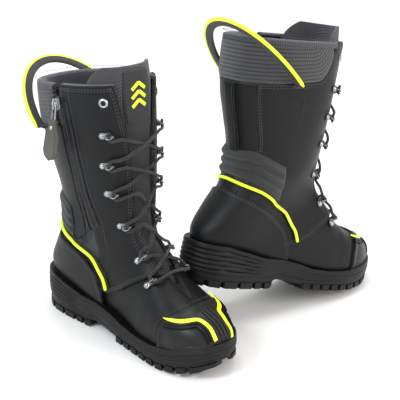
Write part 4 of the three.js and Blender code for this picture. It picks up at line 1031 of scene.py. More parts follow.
def quarter_medial():
    start = curve(quarter_front(-1))
    edge = zip_edge(-1)
    join_angle = -spot(-40, 100)[1]
    end = curve([(9.8, -70), (10.6, join_angle - 4), *edge[::-1], (SHAFT_TOP, edge[0][1])])
    bottom = curve([start(0), *[mirror(spot(*p)) for p in SEAM[1:6]], end(0)])
    top = straight(start(1), end(1))
    shape = panel(patch(bottom, top, start, end), 0, LEATHER, 2.2, 0.8)
    rows = (two_rows(part_of(start, 0.02, 0.99), 3.2, 5.6, LEATHER)
            + two_rows(part_of(end, 0.12, 0.99), -3.0, -14.5, LEATHER)
            + two_rows(part_of(bottom, 0.01, 0.98), -3.0, -5.2, LEATHER)
            + two_rows(part_of(top, 0.03, 0.97), 4.0, 6.2, LEATHER))
    placket = strip(part_of(curve(edge[::-1]), 0.02, 0.93), 0.4, -11.0, LEATHER, LEATHER + 1.1, 3, 0.6)
    placket_rows = (stitches(beside(part_of(curve(edge[::-1]), 0.03, 0.92), -1.6), LEATHER + 1.1)
                    + stitches(beside(part_of(curve(edge[::-1]), 0.03, 0.92), -9.2), LEATHER + 1.1))
    show("quarter_medial_leather", shape + placket, LEATHER_BLACK, ["quarter_medial"])
    show("quarter_medial_thread", rows + placket_rows, THREAD)


def back_panel():
    edge = zip_edge(1)[::-1]
    top_edge = (COLLAR_BACK, edge[4][1])
    start = curve([(12.65, -48), (12.7, edge[0][1] + 6), *edge[:4], top_edge])
    end = curve([(12.7, 22), (13.6, 22), STAY_FOOT, STAY_MIDDLE, STAY_TOP])
    place = patch(straight(start(0), end(0)), straight(start(1), end(1)), start, end)
    stay = strip(curve([(13.2, 0), (15, 0), (17, 0), (COLLAR_BACK - 0.1, 0)]), 9, -9, LEATHER, LEATHER + 1.3)
    rows = (two_rows(part_of(start, 0.2, 0.98), -2.8, -5.0, LEATHER)
            + stitches(curve([(13.3, 5.5), (15, 6), (17, 7), (COLLAR_BACK - 0.2, 7)]), LEATHER + 1.3)
            + stitches(curve([(13.3, -5.5), (15, -6), (17, -7), (COLLAR_BACK - 0.2, -7)]), LEATHER + 1.3))
    show("back_leather", panel(place, 0, LEATHER) + stay, LEATHER_BLACK, ["back_panel"])
    show("back_thread", rows, THREAD)


COUNTER_TOP = [(-23, 42), (-29, 61), (-45, 82), (-71, 98), (-100, 108)]


def heel_counter():
    side = [spot(*p) for p in COUNTER_TOP]
    top = curve([*side, (spot(-119, 110)[0], 0), *[mirror(p) for p in side[::-1]]])
    feet = [(t, float(tuck(t, 2))) for t in (8.75, 9.5, 10.2, 10.8, 11.2)]
    bottom = curve([*feet, (11.6, 0), *[mirror(p) for p in feet[::-1]]])
    shape = panel(band(bottom, top), LEATHER * 0.6, COUNTER_LOW + OVERLAY, 2.6, 1.2)
    rows = two_rows(part_of(top, 0.01, 0.99), -2.6, -4.6, COUNTER_LOW + OVERLAY)
    show("heel_counter_leather", shape, LEATHER_BLACK, ["heel_counter"])
    show("heel_counter_thread", rows, THREAD)


# ---- the toe guard ----
TOE_SHIFT = 3.5  # of the guard's middle to the inside of the foot
STRIPE_PLAN = [  # x, and the distance from the guard's middle
    (89, 34.0), (97, 33.0), (105, 31.0), (112, 27.6), (118, 22.6), (121.5, 18.2), (123.8, 15.8),
    (127, 14.4), (133, 13.1), (140, 12.3), (146.2, 11.8)]
SHADE_LINE_GAPS = (5.2, 9.0)  # from the stripe out to the two dark strips of painted shade that outline the side panel
RIB_PITCH = 5.2


def toe_spot(x, m):
    """The place on the toe's top at a plan point, reached by narrowing down on the skin."""
    t, b = np.interp(x, [106, 123, 135.5, 143.5, 147, 148], [5, 4, 3, 2, 1, 0.2]), 180 - m * 1.5
    for _ in range(40):
        here = skin(t, b)
        by_t = (skin(t + 0.01, b) - skin(t - 0.01, b)) / 0.02
        by_b = (skin(t, b + 0.1) - skin(t, b - 0.1)) / 0.2
        slope = np.array([[by_t[0], by_b[0]], [by_t[1], by_b[1]]])
        miss = np.array([x - here[0], m - here[1]])
        move = np.linalg.solve(slope.T @ slope + np.eye(2) * 0.02, slope.T @ miss)
        t, b = float(np.clip(t + np.clip(move[0], -0.3, 0.3), 0.25, 6)), float(b + np.clip(move[1], -8, 8))
    return t, b


def toe_guard():
    def rear(b):
        side = np.minimum(b, 360 - b)
        return 5.85 - 0.8 * smooth((side - 105) / 60)

    lines, shapes = {}, []
    for side in (1, -1):
        plan = [(x, side * m - TOE_SHIFT) for x, m in STRIPE_PLAN]
        lines[side] = curve([toe_spot(x, m) for x, m in plan])
    samples = np.linspace(0, 1, 90)
    stripe_points = {side: skin(*line(samples)) for side, line in lines.items()}

    def relief(t, b, points, rim):
        height = 0.5 * (1 - smooth((rim - 2.6) / 0.8))
        middle = points[..., 1] + TOE_SHIFT
        for side, line in stripe_points.items():
            gaps = points[..., None, :] - line
            nearest = np.argmin((gaps ** 2).sum(-1), -1)
            gap = np.take_along_axis(gaps, nearest[..., None, None], -2)[..., 0, :]
            along = np.gradient(line, axis=0)[nearest]
            outer = (gap[..., 0] * along[..., 1] - gap[..., 1] * along[..., 0]) * side
            distance = np.linalg.norm(gap, axis=-1)
            beyond = np.where((outer < 0) & (middle * side > 0), distance, 0)
            depth = np.minimum(beyond - 3.4, rim - 4.2)
            height = height - 0.9 * smooth((depth - 0.2) / 0.5) - 0.9 * smooth((depth - 3.4) / 0.5)
        ribs = np.abs(np.sin((middle / RIB_PITCH) * math.pi)) ** 0.8
        inside = smooth((9.8 - np.abs(middle)) / 1.2) * smooth((points[..., 0] - 116) / 5)
        return height + inside * (1.4 * ribs - 0.3)

    place = wrapped(rear, 5, 45)
    guard = panel(place, -0.6, BUMPER, 0.9, 1.2, relief)
    for side, line in lines.items():
        def half(u, sign):
            return lambda v: sign * np.interp(v, [0, 0.12, 0.35, 0.55, 1], [0.25, 1.6, 2.4, 2.2, 2.1])
        near, far = beside(line, half(0, -1)), beside(line, half(0, 1))
        shapes.append(panel(band(near, far), BUMPER - 0.5, BUMPER + 0.75, 1.2, 0.5, finish=1))
        # Dark strips of painted shade along the recess outline beside each stripe.
        for gap in SHADE_LINE_GAPS:
            groove = beside(part_of(line, 0.06, 0.97), side * gap)
            shapes.append(strip(groove, 0.45, -0.45, BUMPER - 2.0, BUMPER + 0.6, 1.2, 0.3, finish=2))
    # Dark strips of painted shade between the ribs across the top of the toe.
    for m in (-RIB_PITCH, 0, RIB_PITCH):
        groove = curve([toe_spot(x, m - TOE_SHIFT) for x in (119, 126, 133, 140, 146)])
        shapes.append(strip(groove, 0.5, -0.5, BUMPER - 1.2, BUMPER + 0.7, 1.2, 0.3, finish=2))
    finishes = [GUARD_RUBBER, HI_VIS, PAINTED_GROOVE_SHADE]
    show("toe_guard", guard + joined(shapes), finishes, ["toe_bumper"])
    rows = stitches(curve([(float(rear(b)) + 0.3, b) for b in np.linspace(72, 288, 21)]), -GRIP)
    show("vamp_thread", rows, THREAD)


# ---- padded cloth ----
def swollen(pieces, held, pressure=3.0, limit=2.2, steps=14):
    """Lets the free points of padded pieces fill out by cloth simulation, and caps how far they go."""
    scene = bpy.context.scene
    for piece in pieces:
        group = piece.vertex_groups.new(name="held")
        group.add([int(i) for i in np.flatnonzero(held)], 1.0, "REPLACE")
        start = np.empty(len(piece.data.vertices) * 3)
        piece.data.vertices.foreach_get("co", start)
        cloth = piece.modifiers.new("fill", "CLOTH")
        cloth.settings.vertex_group_mass = "held"
        cloth.settings.use_pressure = True
        cloth.settings.uniform_pressure_force = pressure
        cloth.settings.quality = 6
        cloth.settings.mass = 0.25
        cloth.settings.tension_stiffness = cloth.settings.compression_stiffness = 6
        cloth.settings.bending_stiffness = 0.6
        cloth.settings.effector_weights.gravity = 0
        cloth.collision_settings.use_self_collision = False
        cloth.point_cache.frame_start, cloth.point_cache.frame_end = 1, steps
        for step in range(1, steps + 1):
            scene.frame_set(step)
        solved = piece.evaluated_get(bpy.context.evaluated_depsgraph_get())
        moved = np.empty_like(start)
        solved.data.vertices.foreach_get("co", moved)
        scene.frame_set(1)
        piece.modifiers.remove(cloth)
        piece.vertex_groups.remove(group)
        start, moved = start.reshape(-1, 3), moved.reshape(-1, 3)
        go = np.nan_to_num(moved - start)
        far = np.linalg.norm(go, axis=1, keepdims=True)
        go *= np.minimum(1, limit * MM / np.maximum(far, 1e-9))
        piece.data.vertices.foreach_set("co", (start + go).reshape(-1))
        piece.data.update()


def ankle_pad():
    """Three sewn rolls across the back of the ankle."""
    low = LEATHER + 0.3
    lateral_top = [spot(*p) for p in ((-60, 153), (-80, 160), (-99, 166))]
    lateral_foot = [spot(*p) for p in ((-56, 111), (-75, 118), (-96, 127))]
    medial_top = [mirror(spot(*p)) for p in ((-66, 155), (-82, 161), (-99, 166))]
    medial_foot = [mirror(spot(*p)) for p in ((-66, 116), (-80, 121), (-96, 128))]
    top = curve([*lateral_top, (spot(-108, 163)[0], 0), *medial_top[::-1]])
    bottom = curve([*lateral_foot, (spot(-112, 128)[0], 0), *medial_foot[::-1]])
    rolls = 3

    def high(u, v):
        roll = np.abs(np.sin(rolls * math.pi * clamp((v - 0.06) / 0.88))) ** 0.62
        ends = smooth(np.minimum(u, 1 - u) / 0.045)
        return low + 0.6 + (PAD + 0.2) * roll * ends

    shape = panel(band(bottom, top), low, high, 2.0, 0.9)
    pieces = show("ankle_pad_cloth", shape, PAD_CLOTH, ["ankle_pad"], step=70)
    t_all = shape.cloth[:, 1]
    tall = t_all.max()
    share = clamp((t_all / tall - 0.06) / 0.88)
    seam = np.abs(np.sin(rolls * math.pi * share)) < 0.28
    count = len(shape.points) // 2
    held = seam | (shape.rim < 1.5) | (np.arange(len(shape.points)) >= count)
    swollen(pieces, held, limit=1.3)
    channels = []
    for k in range(1, rolls):
        v = 0.06 + 0.88 * k / rolls
        channel = curve([band(bottom, top)(u, v) for u in np.linspace(0.02, 0.98, 25)])
        channels.append(strip(channel, 1.2, -1.2, low, low + 1.5, 1.6, 0.4))
    show("ankle_pad_channels", joined(channels), BAND_CLOTH)
    rows = stitches(beside(part_of(top, 0.02, 0.98), -1.6), low + 1.2)
    show("ankle_pad_thread", rows, THREAD)


def ankle_piping():
    side = [spot(*p) for p in ((-13, 60), (-22, 77), (-42, 97), (-68, 111), (-93, 121))]
    path = curve([*side, (spot(-112, 124)[0], 0), *[mirror(p) for p in side[::-1]]])
    u = np.linspace(0, 1, 150)
    t, b = path(u)
    bead = tapered(over(t, b, LEATHER + LAP + PIPING + 0.7), PIPING, 12)
    flange = strip(part_of(path, 0.004, 0.996), 4.5, -1.0, LEATHER, LEATHER + 1.5, 2.5, 0.5, finish=1)
    rows = stitches(beside(part_of(path, 0.01, 0.99), 3.4), LEATHER + 1.5)
    show("ankle_piping_trim", bead + flange, [HI_VIS, LEATHER_BLACK], ["ankle_piping"])
    show("ankle_piping_thread", rows, THREAD)


def collar():
    """The padded knit collar round the back of the shaft."""
    behind = zip_line(0.2)[1] + slot_angle(18) * 2.2
    last_seam = [(COLLAR_BACK, behind), (COLLAR_BACK, -40), (COLLAR_BACK, 0), STAY_TOP,
                 *COLLAR_SEAM[::-1], *COLLAR_FRONT[::-1]]
    bottom = curve(last_seam)
    last = bottom(1)
    top_t = SHAFT_TOP - 0.12
    top = curve([(top_t, b) for b in (behind, -45, 0, 45, 85, float(last[1]))])

    def high(u, v):
        rim = smooth(np.minimum(u, 1 - u) / 0.05) * smooth(np.minimum(v, 1 - v) / 0.12)
        return LEATHER + 0.4 + (PAD - LEATHER - 0.9) * rim

    shape = panel(band(bottom, top), -2.6, high, 3.0, 1.2)
    pieces = show("collar_knit", shape, COLLAR_KNIT, ["collar"], step=70)
    count = len(shape.points) // 2
    held = (shape.rim < 3.0) | (np.arange(len(shape.points)) >= count)
    swollen(pieces, held, pressure=2.0, limit=1.0)
    rows = stitches(beside(part_of(top, 0.02, 0.98), -6.0), PAD + 0.1, pitch=4.2)
    rows = rows + stitches(beside(part_of(bottom, 0.1, 0.97), 1.8), LEATHER + 1.0)
    show("collar_thread", rows, THREAD)


def binding():
    """The rolled cloth edge from the shaft's outside to its lining, all round its top."""
    sides = 14
    turn = np.linspace(0, math.pi, sides)
    first, last = zip_line(0)[1] + slot_angle(19) * 1.4, float(COLLAR_FRONT[0][1]) + 4
    out_height = PAD - 0.6
    b = np.linspace(first, last, 120)
    middle, half = (out_height - 8.4) / 2, (out_height + 8.4) / 2
    ground, out = skin(np.full(120, SHAFT_TOP - 0.12), b), normal(np.full(120, SHAFT_TOP - 0.12), b)
    up = unit(skin(np.full(120, SHAFT_TOP), b) - skin(np.full(120, SHAFT_TOP - 0.4), b))
    rows = []
    for a in turn:
        rows.append(ground + out * (middle + half * math.cos(a)) + up * (3.4 * math.sin(a)))
    lowered = [rows[-1] - up * 3.5, rows[0] - up * 3.5]
    rings = np.stack(rows + lowered, 1)
    cloth = np.stack(np.broadcast_arrays(np.arange(sides + 2) * 1.6, np.linspace(0, 200, 120)[:, None]), -1)
    body = Shape(rings, lattice(120, sides + 2, wrap=True), cloth=cloth)
    n = sides + 2
    k = np.arange(1, n // 2)
    lid = np.stack([k - 1, k, n - k - 1, n - k], -1)[1:]
    body.quads = np.vstack([body.quads, lid, lid[:, ::-1] + 119 * n])
    body.quad_finish = np.zeros(len(body.quads), int)
    show("top_binding", body.outward(), LINING_KNIT)


def front_binding():
    """The narrow edge in lining knit along the top of each front flap, from its outside to the lining."""
    for side, name in ((1, "lateral"), (-1, "medial")):
        path = curve(quarter_front(side))
        end_b = float(path(1.0)[1])
        start_b = side * (float(COLLAR_FRONT[0][1]) + 3) if side > 0 else zip_edge(-1)[0][1] - 1
        b = np.linspace(start_b, end_b + side * 0.5, 60)
        t = np.full(60, SHAFT_TOP - 0.05)
        middle = over(t, b, -3.4)
        up = unit(skin(t, b) - skin(t - 0.4, b))
        profile = circle(1.0, 14) * np.array([4.6, 2.2])
        shape = sweep(middle, profile, ups=up)
        show(f"front_edge_{name}", shape, LINING_KNIT)


def tongue_angle(t):
    return 26 + 26 * clamp((t - (THROAT - 0.5)) / 3) + 12 * clamp((t - 14) / 5)


CAP_INSIDE = GRIP + VAMP + 1.4 * LAP + 1.8


def lining_outside(t):
    foot = GRIP + VAMP + 4.6 * LAP
    over_cap = (CAP_INSIDE + 1.3 * LAP - foot) * clamp((5.9 - t) / 0.5)
    return -(foot + over_cap + 0.4 * LAP * clamp((t - 12) / 3))


def lining():
    def place(u, v):
        t = 1.1 + (SHAFT_TOP - 0.2 - 1.1) * v
        open_angle = 176 - clamp((t - THROAT + 1.8) / 0.5) * (tongue_angle(t) + 1)
        return t, (2 * u - 1) * open_angle

    def high(u, v):
        return lining_outside(place(u, v)[0])

    shape = panel(place, lambda u, v: high(u, v) - LINING, high, 3.2, 0.8)
    show("lining_knit", shape, LINING_KNIT, ["lining"])


def facing(side):
    """The cloth between a front flap's edge and the lining behind it."""
    path = curve(quarter_front(side))
    u = np.linspace(0.12, 1, 60)
    t, b = path(u)
    outer = over(t, b, 0.1)
    inner_b = side * (180 - tongue_angle(t) - 2)
    inner = over(t, inner_b, lining_outside(t) - 0.6)
    middle_b = (b + inner_b) / 2
    rows = [outer, over(t, b - side * 2, -1.2), over(t, middle_b, -2.8), inner]
    grid = np.stack(rows, 0)
    back = np.stack([r - normal(t, b) * 0.9 for r in rows], 0)
    cloth = np.stack(np.broadcast_arrays(np.array([0, 3, 12, 24.0])[:, None], np.linspace(0, 190, 60)), -1)
    return slab(grid, back, cloth, np.full(grid.shape[:2], 9.0))


TONGUE_LIFT = -(LAP + 1.2 + LAP + 5 * GRIP)
TONGUE_FOOT = THROAT - 0.5
TONGUE_HEAD = LAST - 0.3


def tongue_place(u, v):
    t = TONGUE_FOOT + (TONGUE_HEAD - TONGUE_FOOT) * v
    reach = tongue_angle(t) * (1 - 0.32 * clamp((v - 0.93) / 0.07) ** 2.2)
    return t, 180 - reach + 2 * reach * u


def tongue_height(u, v):
    edge = np.abs(2 * u - 1)
    return TONGUE_LIFT + 1.2 * (1 - edge) * np.sin(math.pi * v) - 4.8 * clamp(1 - v * 5)


def tongue():
    """The padded knit tongue, with a smooth band up its middle."""
    shape = panel(tongue_place, lambda u, v: tongue_height(u, v) - TONGUE, tongue_height, 3.0, 1.8)
    pieces = show("tongue_knit", shape, TONGUE_KNIT, ["tongue"], step=70)

    def on_band(width, first, last, rise):
        def place(u, v):
            v = first + (last - first) * v
            return tongue_place(0.5 + width * (u - 0.5), v)

        def high(u, v):
            return tongue_height(0.5 + width * (u - 0.5), first + (last - first) * v) + rise
        return place, high

    place, high = on_band(0.36, 0.02, 0.985, 0.9)
    centre = panel(place, lambda u, v: high(u, v) - 1.6, high, 2.6, 0.6)
    show("tongue_band", centre, BAND_CLOTH)
    rows = stitches(lambda u: place(0.035, 0.03 + 0.94 * np.asarray(u)), TONGUE_LIFT + 1.7)
    rows = rows + stitches(lambda u: place(0.965, 0.03 + 0.94 * np.asarray(u)), TONGUE_LIFT + 1.7)
    show("tongue_thread", rows, THREAD)


def tongue_patch():
    under = TONGUE_LIFT + 1.5
    t0, t1, reach = 18.25, 20.45, 21.0

    def place(u, v):
        narrow = 1 - 0.1 * np.asarray(v) ** 6 - 0.12 * (1 - np.asarray(v)) ** 6
        return t0 + (t1 - t0) * v, 180 + (2 * u - 1) * reach * narrow

    base = panel(place, under - 1.0, under + 0.9, 1.8, 0.7)
    border = [curve([place(u, v) for v in np.linspace(0.06, 0.94, 7)]) for u in (0.05, 0.95)]
    marks = []
    for v in (0.30, 0.47, 0.64):
        rise, reach_u = 0.13, 0.26
        for s in (1, -1):
            arm = curve([place(0.5 + s * k * reach_u, v + rise * (1 - k)) for k in (0.0, 0.5, 1.0)])
            marks.append(strip(arm, 2.0, -2.0, under + 0.4, under + 1.25, 1.5, 0.25, finish=1))
    show("tongue_patch_cloth", base + joined(marks), [BAND_CLOTH, HI_VIS], ["tongue_patch"])
    rows = joined(stitches(line, under + 0.9) for line in border)
    show("tongue_patch_thread", rows, THREAD)


# ---- hooks, eyelets and lace ----
HOOKS = [(-3, 254), (-4, 219), (-2, 185), (6, 145), (29, 108)]
LAST_HOOK = (50, 86)
EYELET_AT = (-4, 291)
HOOK_BASE = LEATHER + 2 * GRIP
RING_FORWARD = HOOK_PLATE[0] / 2 - (RING_BORE / 2 + RING_BAR) * 0.55
RING_RISE = HOOK_PLATE[2] + RING_BORE / 2 + RING_BAR * 0.4
RING_LEAN = math.radians(38)


def on_side(point, side):
    return spot(*point) if side > 0 else mirror(spot(*point))


def skin_frame(t, b, height):
    """A frame standing on the skin: x to the front edge, y up the shaft, z outwards."""
    out = normal(t, b)
    up = skin(min(t + 0.1, LAST), b) - skin(t - 0.1, b)
    up = unit(up - out * (up @ out))
    forward = np.cross(out, up) * (-1 if b < 0 else 1)
    frame_matrix = np.eye(4)
    frame_matrix[:3, :3] = np.stack([forward, up, out], 1)
    frame_matrix[:3, 3] = over(t, b, height)
    return frame_matrix


def through(matrix, *points):
    return [matrix[:3, :3] @ np.array(p, float) + matrix[:3, 3] for p in points]


def hook():
    """A stamped plate with a domed rivet at its back and a leaning wire ring at its front."""
    long, wide, thick = HOOK_PLATE
    turn = np.linspace(0, 2 * math.pi, 48, endpoint=False)
    radius = wide / 2
    rim = np.stack([np.cos(turn) * radius + np.where(np.cos(turn) > 0, 1, -1) * (long / 2 - radius) * (
        np.abs(np.cos(turn)) > 0.01), np.sin(turn) * radius], -1)
    waist = 1 - 0.2 * np.exp(-((rim[:, 0] - 1.0) / 2.2) ** 2)
    rim = rim * np.stack([np.ones(48), waist], -1)
    rings = []
    for shrink, z in ((0.35, 0.0), (0.0, 0.25), (0.0, thick - 0.4), (0.4, thick)):
        shape = rim * (1 - shrink / np.maximum(np.linalg.norm(rim, axis=1, keepdims=True), 1))
        rings.append(np.column_stack([shape, np.full(48, z)]))
    plate = capped(np.array(rings))
    crown = [(2.9 * math.cos(a), thick + 0.7 + 2.0 * math.sin(a)) for a in np.linspace(0.2, 1.5, 7)]
    dome_profile = [(0, thick - 0.3), (3.5, thick - 0.3), (3.6, thick + 0.25), (3.35, thick + 0.6),
                    (2.9, thick + 0.7), *crown, (0, thick + 2.72)]
    dome = turned(dome_profile, 28, finish=1)
    dome.points += [-long * 0.24, 0, 0]
    bow = np.linspace(0, 2 * math.pi, 36, endpoint=False)
    mid = RING_BORE / 2 + RING_BAR / 2
    wire = np.stack([np.cos(bow) * mid * 1.05, np.zeros(36), np.sin(bow) * mid], -1)
    lean = np.array([[1, 0, 0], [0, math.cos(RING_LEAN), math.sin(RING_LEAN)],
                     [0, -math.sin(RING_LEAN), math.cos(RING_LEAN)]])
    wire = wire @ lean + [RING_FORWARD, 0, RING_RISE]
    loop = sweep(wire, circle(RING_BAR / 2, 10), closed=True)
    saddle = sweep([(RING_FORWARD - 4.6, 0, thick), (RING_FORWARD - 3.2, -0.6, thick + 1.0),
                    (RING_FORWARD, -1.6, thick + 1.5), (RING_FORWARD + 3.0, -1.2, thick + 0.8),
                    (RING_FORWARD + 3.8, 0, thick - 0.2)], circle(1.0, 10) * [2.4, 0.8],
                   ups=np.tile([0.0, 0, 1], (5, 1)))
    return plate + dome + loop + saddle


def hooks():
    for side, name in ((1, "lateral"), (-1, "medial")):
        row = joined(hook().placed(skin_frame(*on_side(p, side), HOOK_BASE - 0.5)) for p in HOOKS)
        show(f"hooks_{name}_steel", row, [GUNMETAL, CHROME], [f"hooks_{name}"])
        last = hook().placed(skin_frame(*on_side(LAST_HOOK, side), -0.4))
        show(f"toe_hook_{name}_steel", last, [GUNMETAL, CHROME], [f"toe_hook_{name}"])
        rim, bore, high = EYELET_RIM, EYELET_BORE, LEATHER + GRIP
        profile = [(bore, -0.6), (bore, high + 0.5), (bore + 0.35, high + 0.9), (bore + 1.1, high + 1.05),
                   (rim - 0.9, high + 0.75), (rim, high - 0.1), (rim - 0.1, high - 0.4),
                   (bore + 0.8, high - 0.4), (bore + 0.8, -0.6), (bore, -0.6)]
        eyelet = turned(profile, 32).placed(skin_frame(*on_side(EYELET_AT, side), 0))
        show(f"eyelet_{name}_steel", eyelet, CHROME, [f"eyelet_{name}"])
        show(f"facing_{name}", facing(side), PAD_CLOTH)


LACE_HEIGHT = 4.7
CROSS_OVER = LACE / 2 + 0.35


def ring_place(point, side, base):
    place = on_side(point, side)
    matrix = skin_frame(*place, base)

    def at(forward, rise, out=0.0):
        return through(matrix, (RING_FORWARD + forward, rise, RING_RISE + out))[0]
    return at, place


def lace_run(start, end, lift_side):
    """The lace from one ring, across the front of the shaft, to the next ring up on the other side."""
    side = math.copysign(1, start[1])
    reach = 180 - abs(start[1]) - math.degrees((RING_FORWARD + 8) / float(section(start[0])[5]))
    points = []
    for f in (0.06, 0.26, 0.5, 0.74, 0.94):
        t = start[0] + (end[0] - start[0]) * (0.12 + 0.76 * f)
        lift = lift_side * CROSS_OVER * float(clamp(1 - abs(f - 0.5) / 0.2))
        height = LACE_HEIGHT + lift + 2.4 * abs(2 * f - 1) ** 3
        points.append(over(t, side * (180 - reach * (1 - 2 * f)), height))
    return points


def lace_route():
    rows = []
    for k, point in enumerate([LAST_HOOK] + HOOKS[::-1]):
        rows.append([ring_place(point, side, HOOK_BASE if k else 0) for side in (1, -1)])

    def climb(start):
        points = []
        for i, row in enumerate(rows):
            at, place = row[(start + i) % 2]
            points += [at(2.4, -5), at(0, -1.6), at(0, 1.6), at(2.4, 5)]
            if i + 1 < len(rows):
                turn = 1 if (start + i) % 2 else -1
                points += lace_run(place, rows[i + 1][(start + i + 1) % 2][1], -turn if i % 2 else turn)
        return points

    bar = [over(rows[0][0][1][0] - 0.35, 180 - k * 16, LACE_HEIGHT - 1) for k in (-1, 0, 1)]
    return climb(0)[::-1] + bar[::-1] + climb(1)


def lace():
    route = lace_route()
    line = even(centripetal(route, 2400), 1300)
    show("lace_braid", tapered(line, LACE / 2, 10, 3), BRAID, ["lace"], step=80)


# ---- the zip ----
TOOTH = [(-1, -1), (-0.3, -1.15), (0.3, -1.15), (1, -1), (1, 1), (0.3, 1.15), (-0.3, 1.15), (-1, 1)]


def zip_pieces():
    line = part_of(ZIP, 0.02, 0.99)
    tape = strip(line, 8.2, -8.2, -2.4, -0.8, 2.5, 0.4)
    show("zip_tape_cloth", tape, TAPE, ["zip_tape"])
    pitch, length = 2.0, length_of(line)
    count = int(length / pitch)
    shapes = []
    for k in range(count):
        t, b = (float(v) for v in line((k + 0.5) / count))
        matrix = skin_frame(t, b, -0.7)
        hand = 1 if k % 2 else -1
        w, d, h = 1.9, 0.72, 1.5
        corners = []
        for z, grow in ((0, 1.0), (h * 0.6, 1.0), (h, 0.72)):
            corners.append([(hand * 0.75 + sx * w * grow, sy * d * grow, z) for sx, sy in TOOTH])
        shapes.append(capped(np.array(corners)).placed(matrix))
    show("zip_teeth_row", joined(shapes), TEETH, ["zip_teeth"])


def slider_frame():
    top, foot = (over(*zip_line(u), SLIDER_LIFT) for u in (0.06, 0.93))
    up = unit(top - foot)
    out = normal(*zip_line(0.5))
    out = unit(out - up * (out @ up))
    matrix = np.eye(4)
    matrix[:3, :3] = np.stack([np.cross(up, out), up, out], 1)
    matrix[:3, 3] = top
    return matrix


def hanging_frame():
    slider = slider_frame()
    eye = through(slider, (0, -SLIDER[1] * 0.08, SLIDER[2] / 2 + 1.4))[0]
    axis = unit(slider[:3, 0] * [1, 1, 0])
    out = np.cross(axis, [0, 0, 1])
    lean = math.radians(-LINK_LEAN)
    hang = np.eye(4)
    hang[:3, :3] = np.stack([axis, [0, 0, 1], out], 1)
    hang[:3, 3] = eye
    tip = np.eye(4)
    tip[1:3, 1:3] = [[math.cos(lean), -math.sin(lean)], [math.sin(lean), math.cos(lean)]]
    return hang @ tip


def rounded_block(half_x, outline_y, z_low, z_high, bevel=0.5, finish=0):
    """A block from matching half-widths and heights along y, with its edges bevelled."""
    half_x, outline_y = np.asarray(half_x, float), np.asarray(outline_y, float)
    rim = np.vstack([np.column_stack([half_x, outline_y]), np.column_stack([-half_x[::-1], outline_y[::-1]])])
    middle = rim.mean(0)
    rings = []
    for shrink, z in ((bevel, z_low), (0, z_low + bevel), (0, z_high - bevel), (bevel, z_high)):
        away = rim - middle
        rings.append(np.column_stack([rim - away / np.maximum(np.linalg.norm(away, axis=1, keepdims=True), 1)
                                      * shrink, np.full(len(rim), z)]))
    body = Shape(np.array(rings), lattice(4, len(rim), wrap=True), finish=finish)
    n = len(rim)
    k = np.arange(n // 2 - 1)
    lid = np.stack([k, k + 1, n - k - 2, n - k - 1], -1)
    body.quads = np.vstack([body.quads, lid[:, ::-1], lid + 3 * n])
    body.quad_finish = np.full(len(body.quads), finish)
    return body.outward()


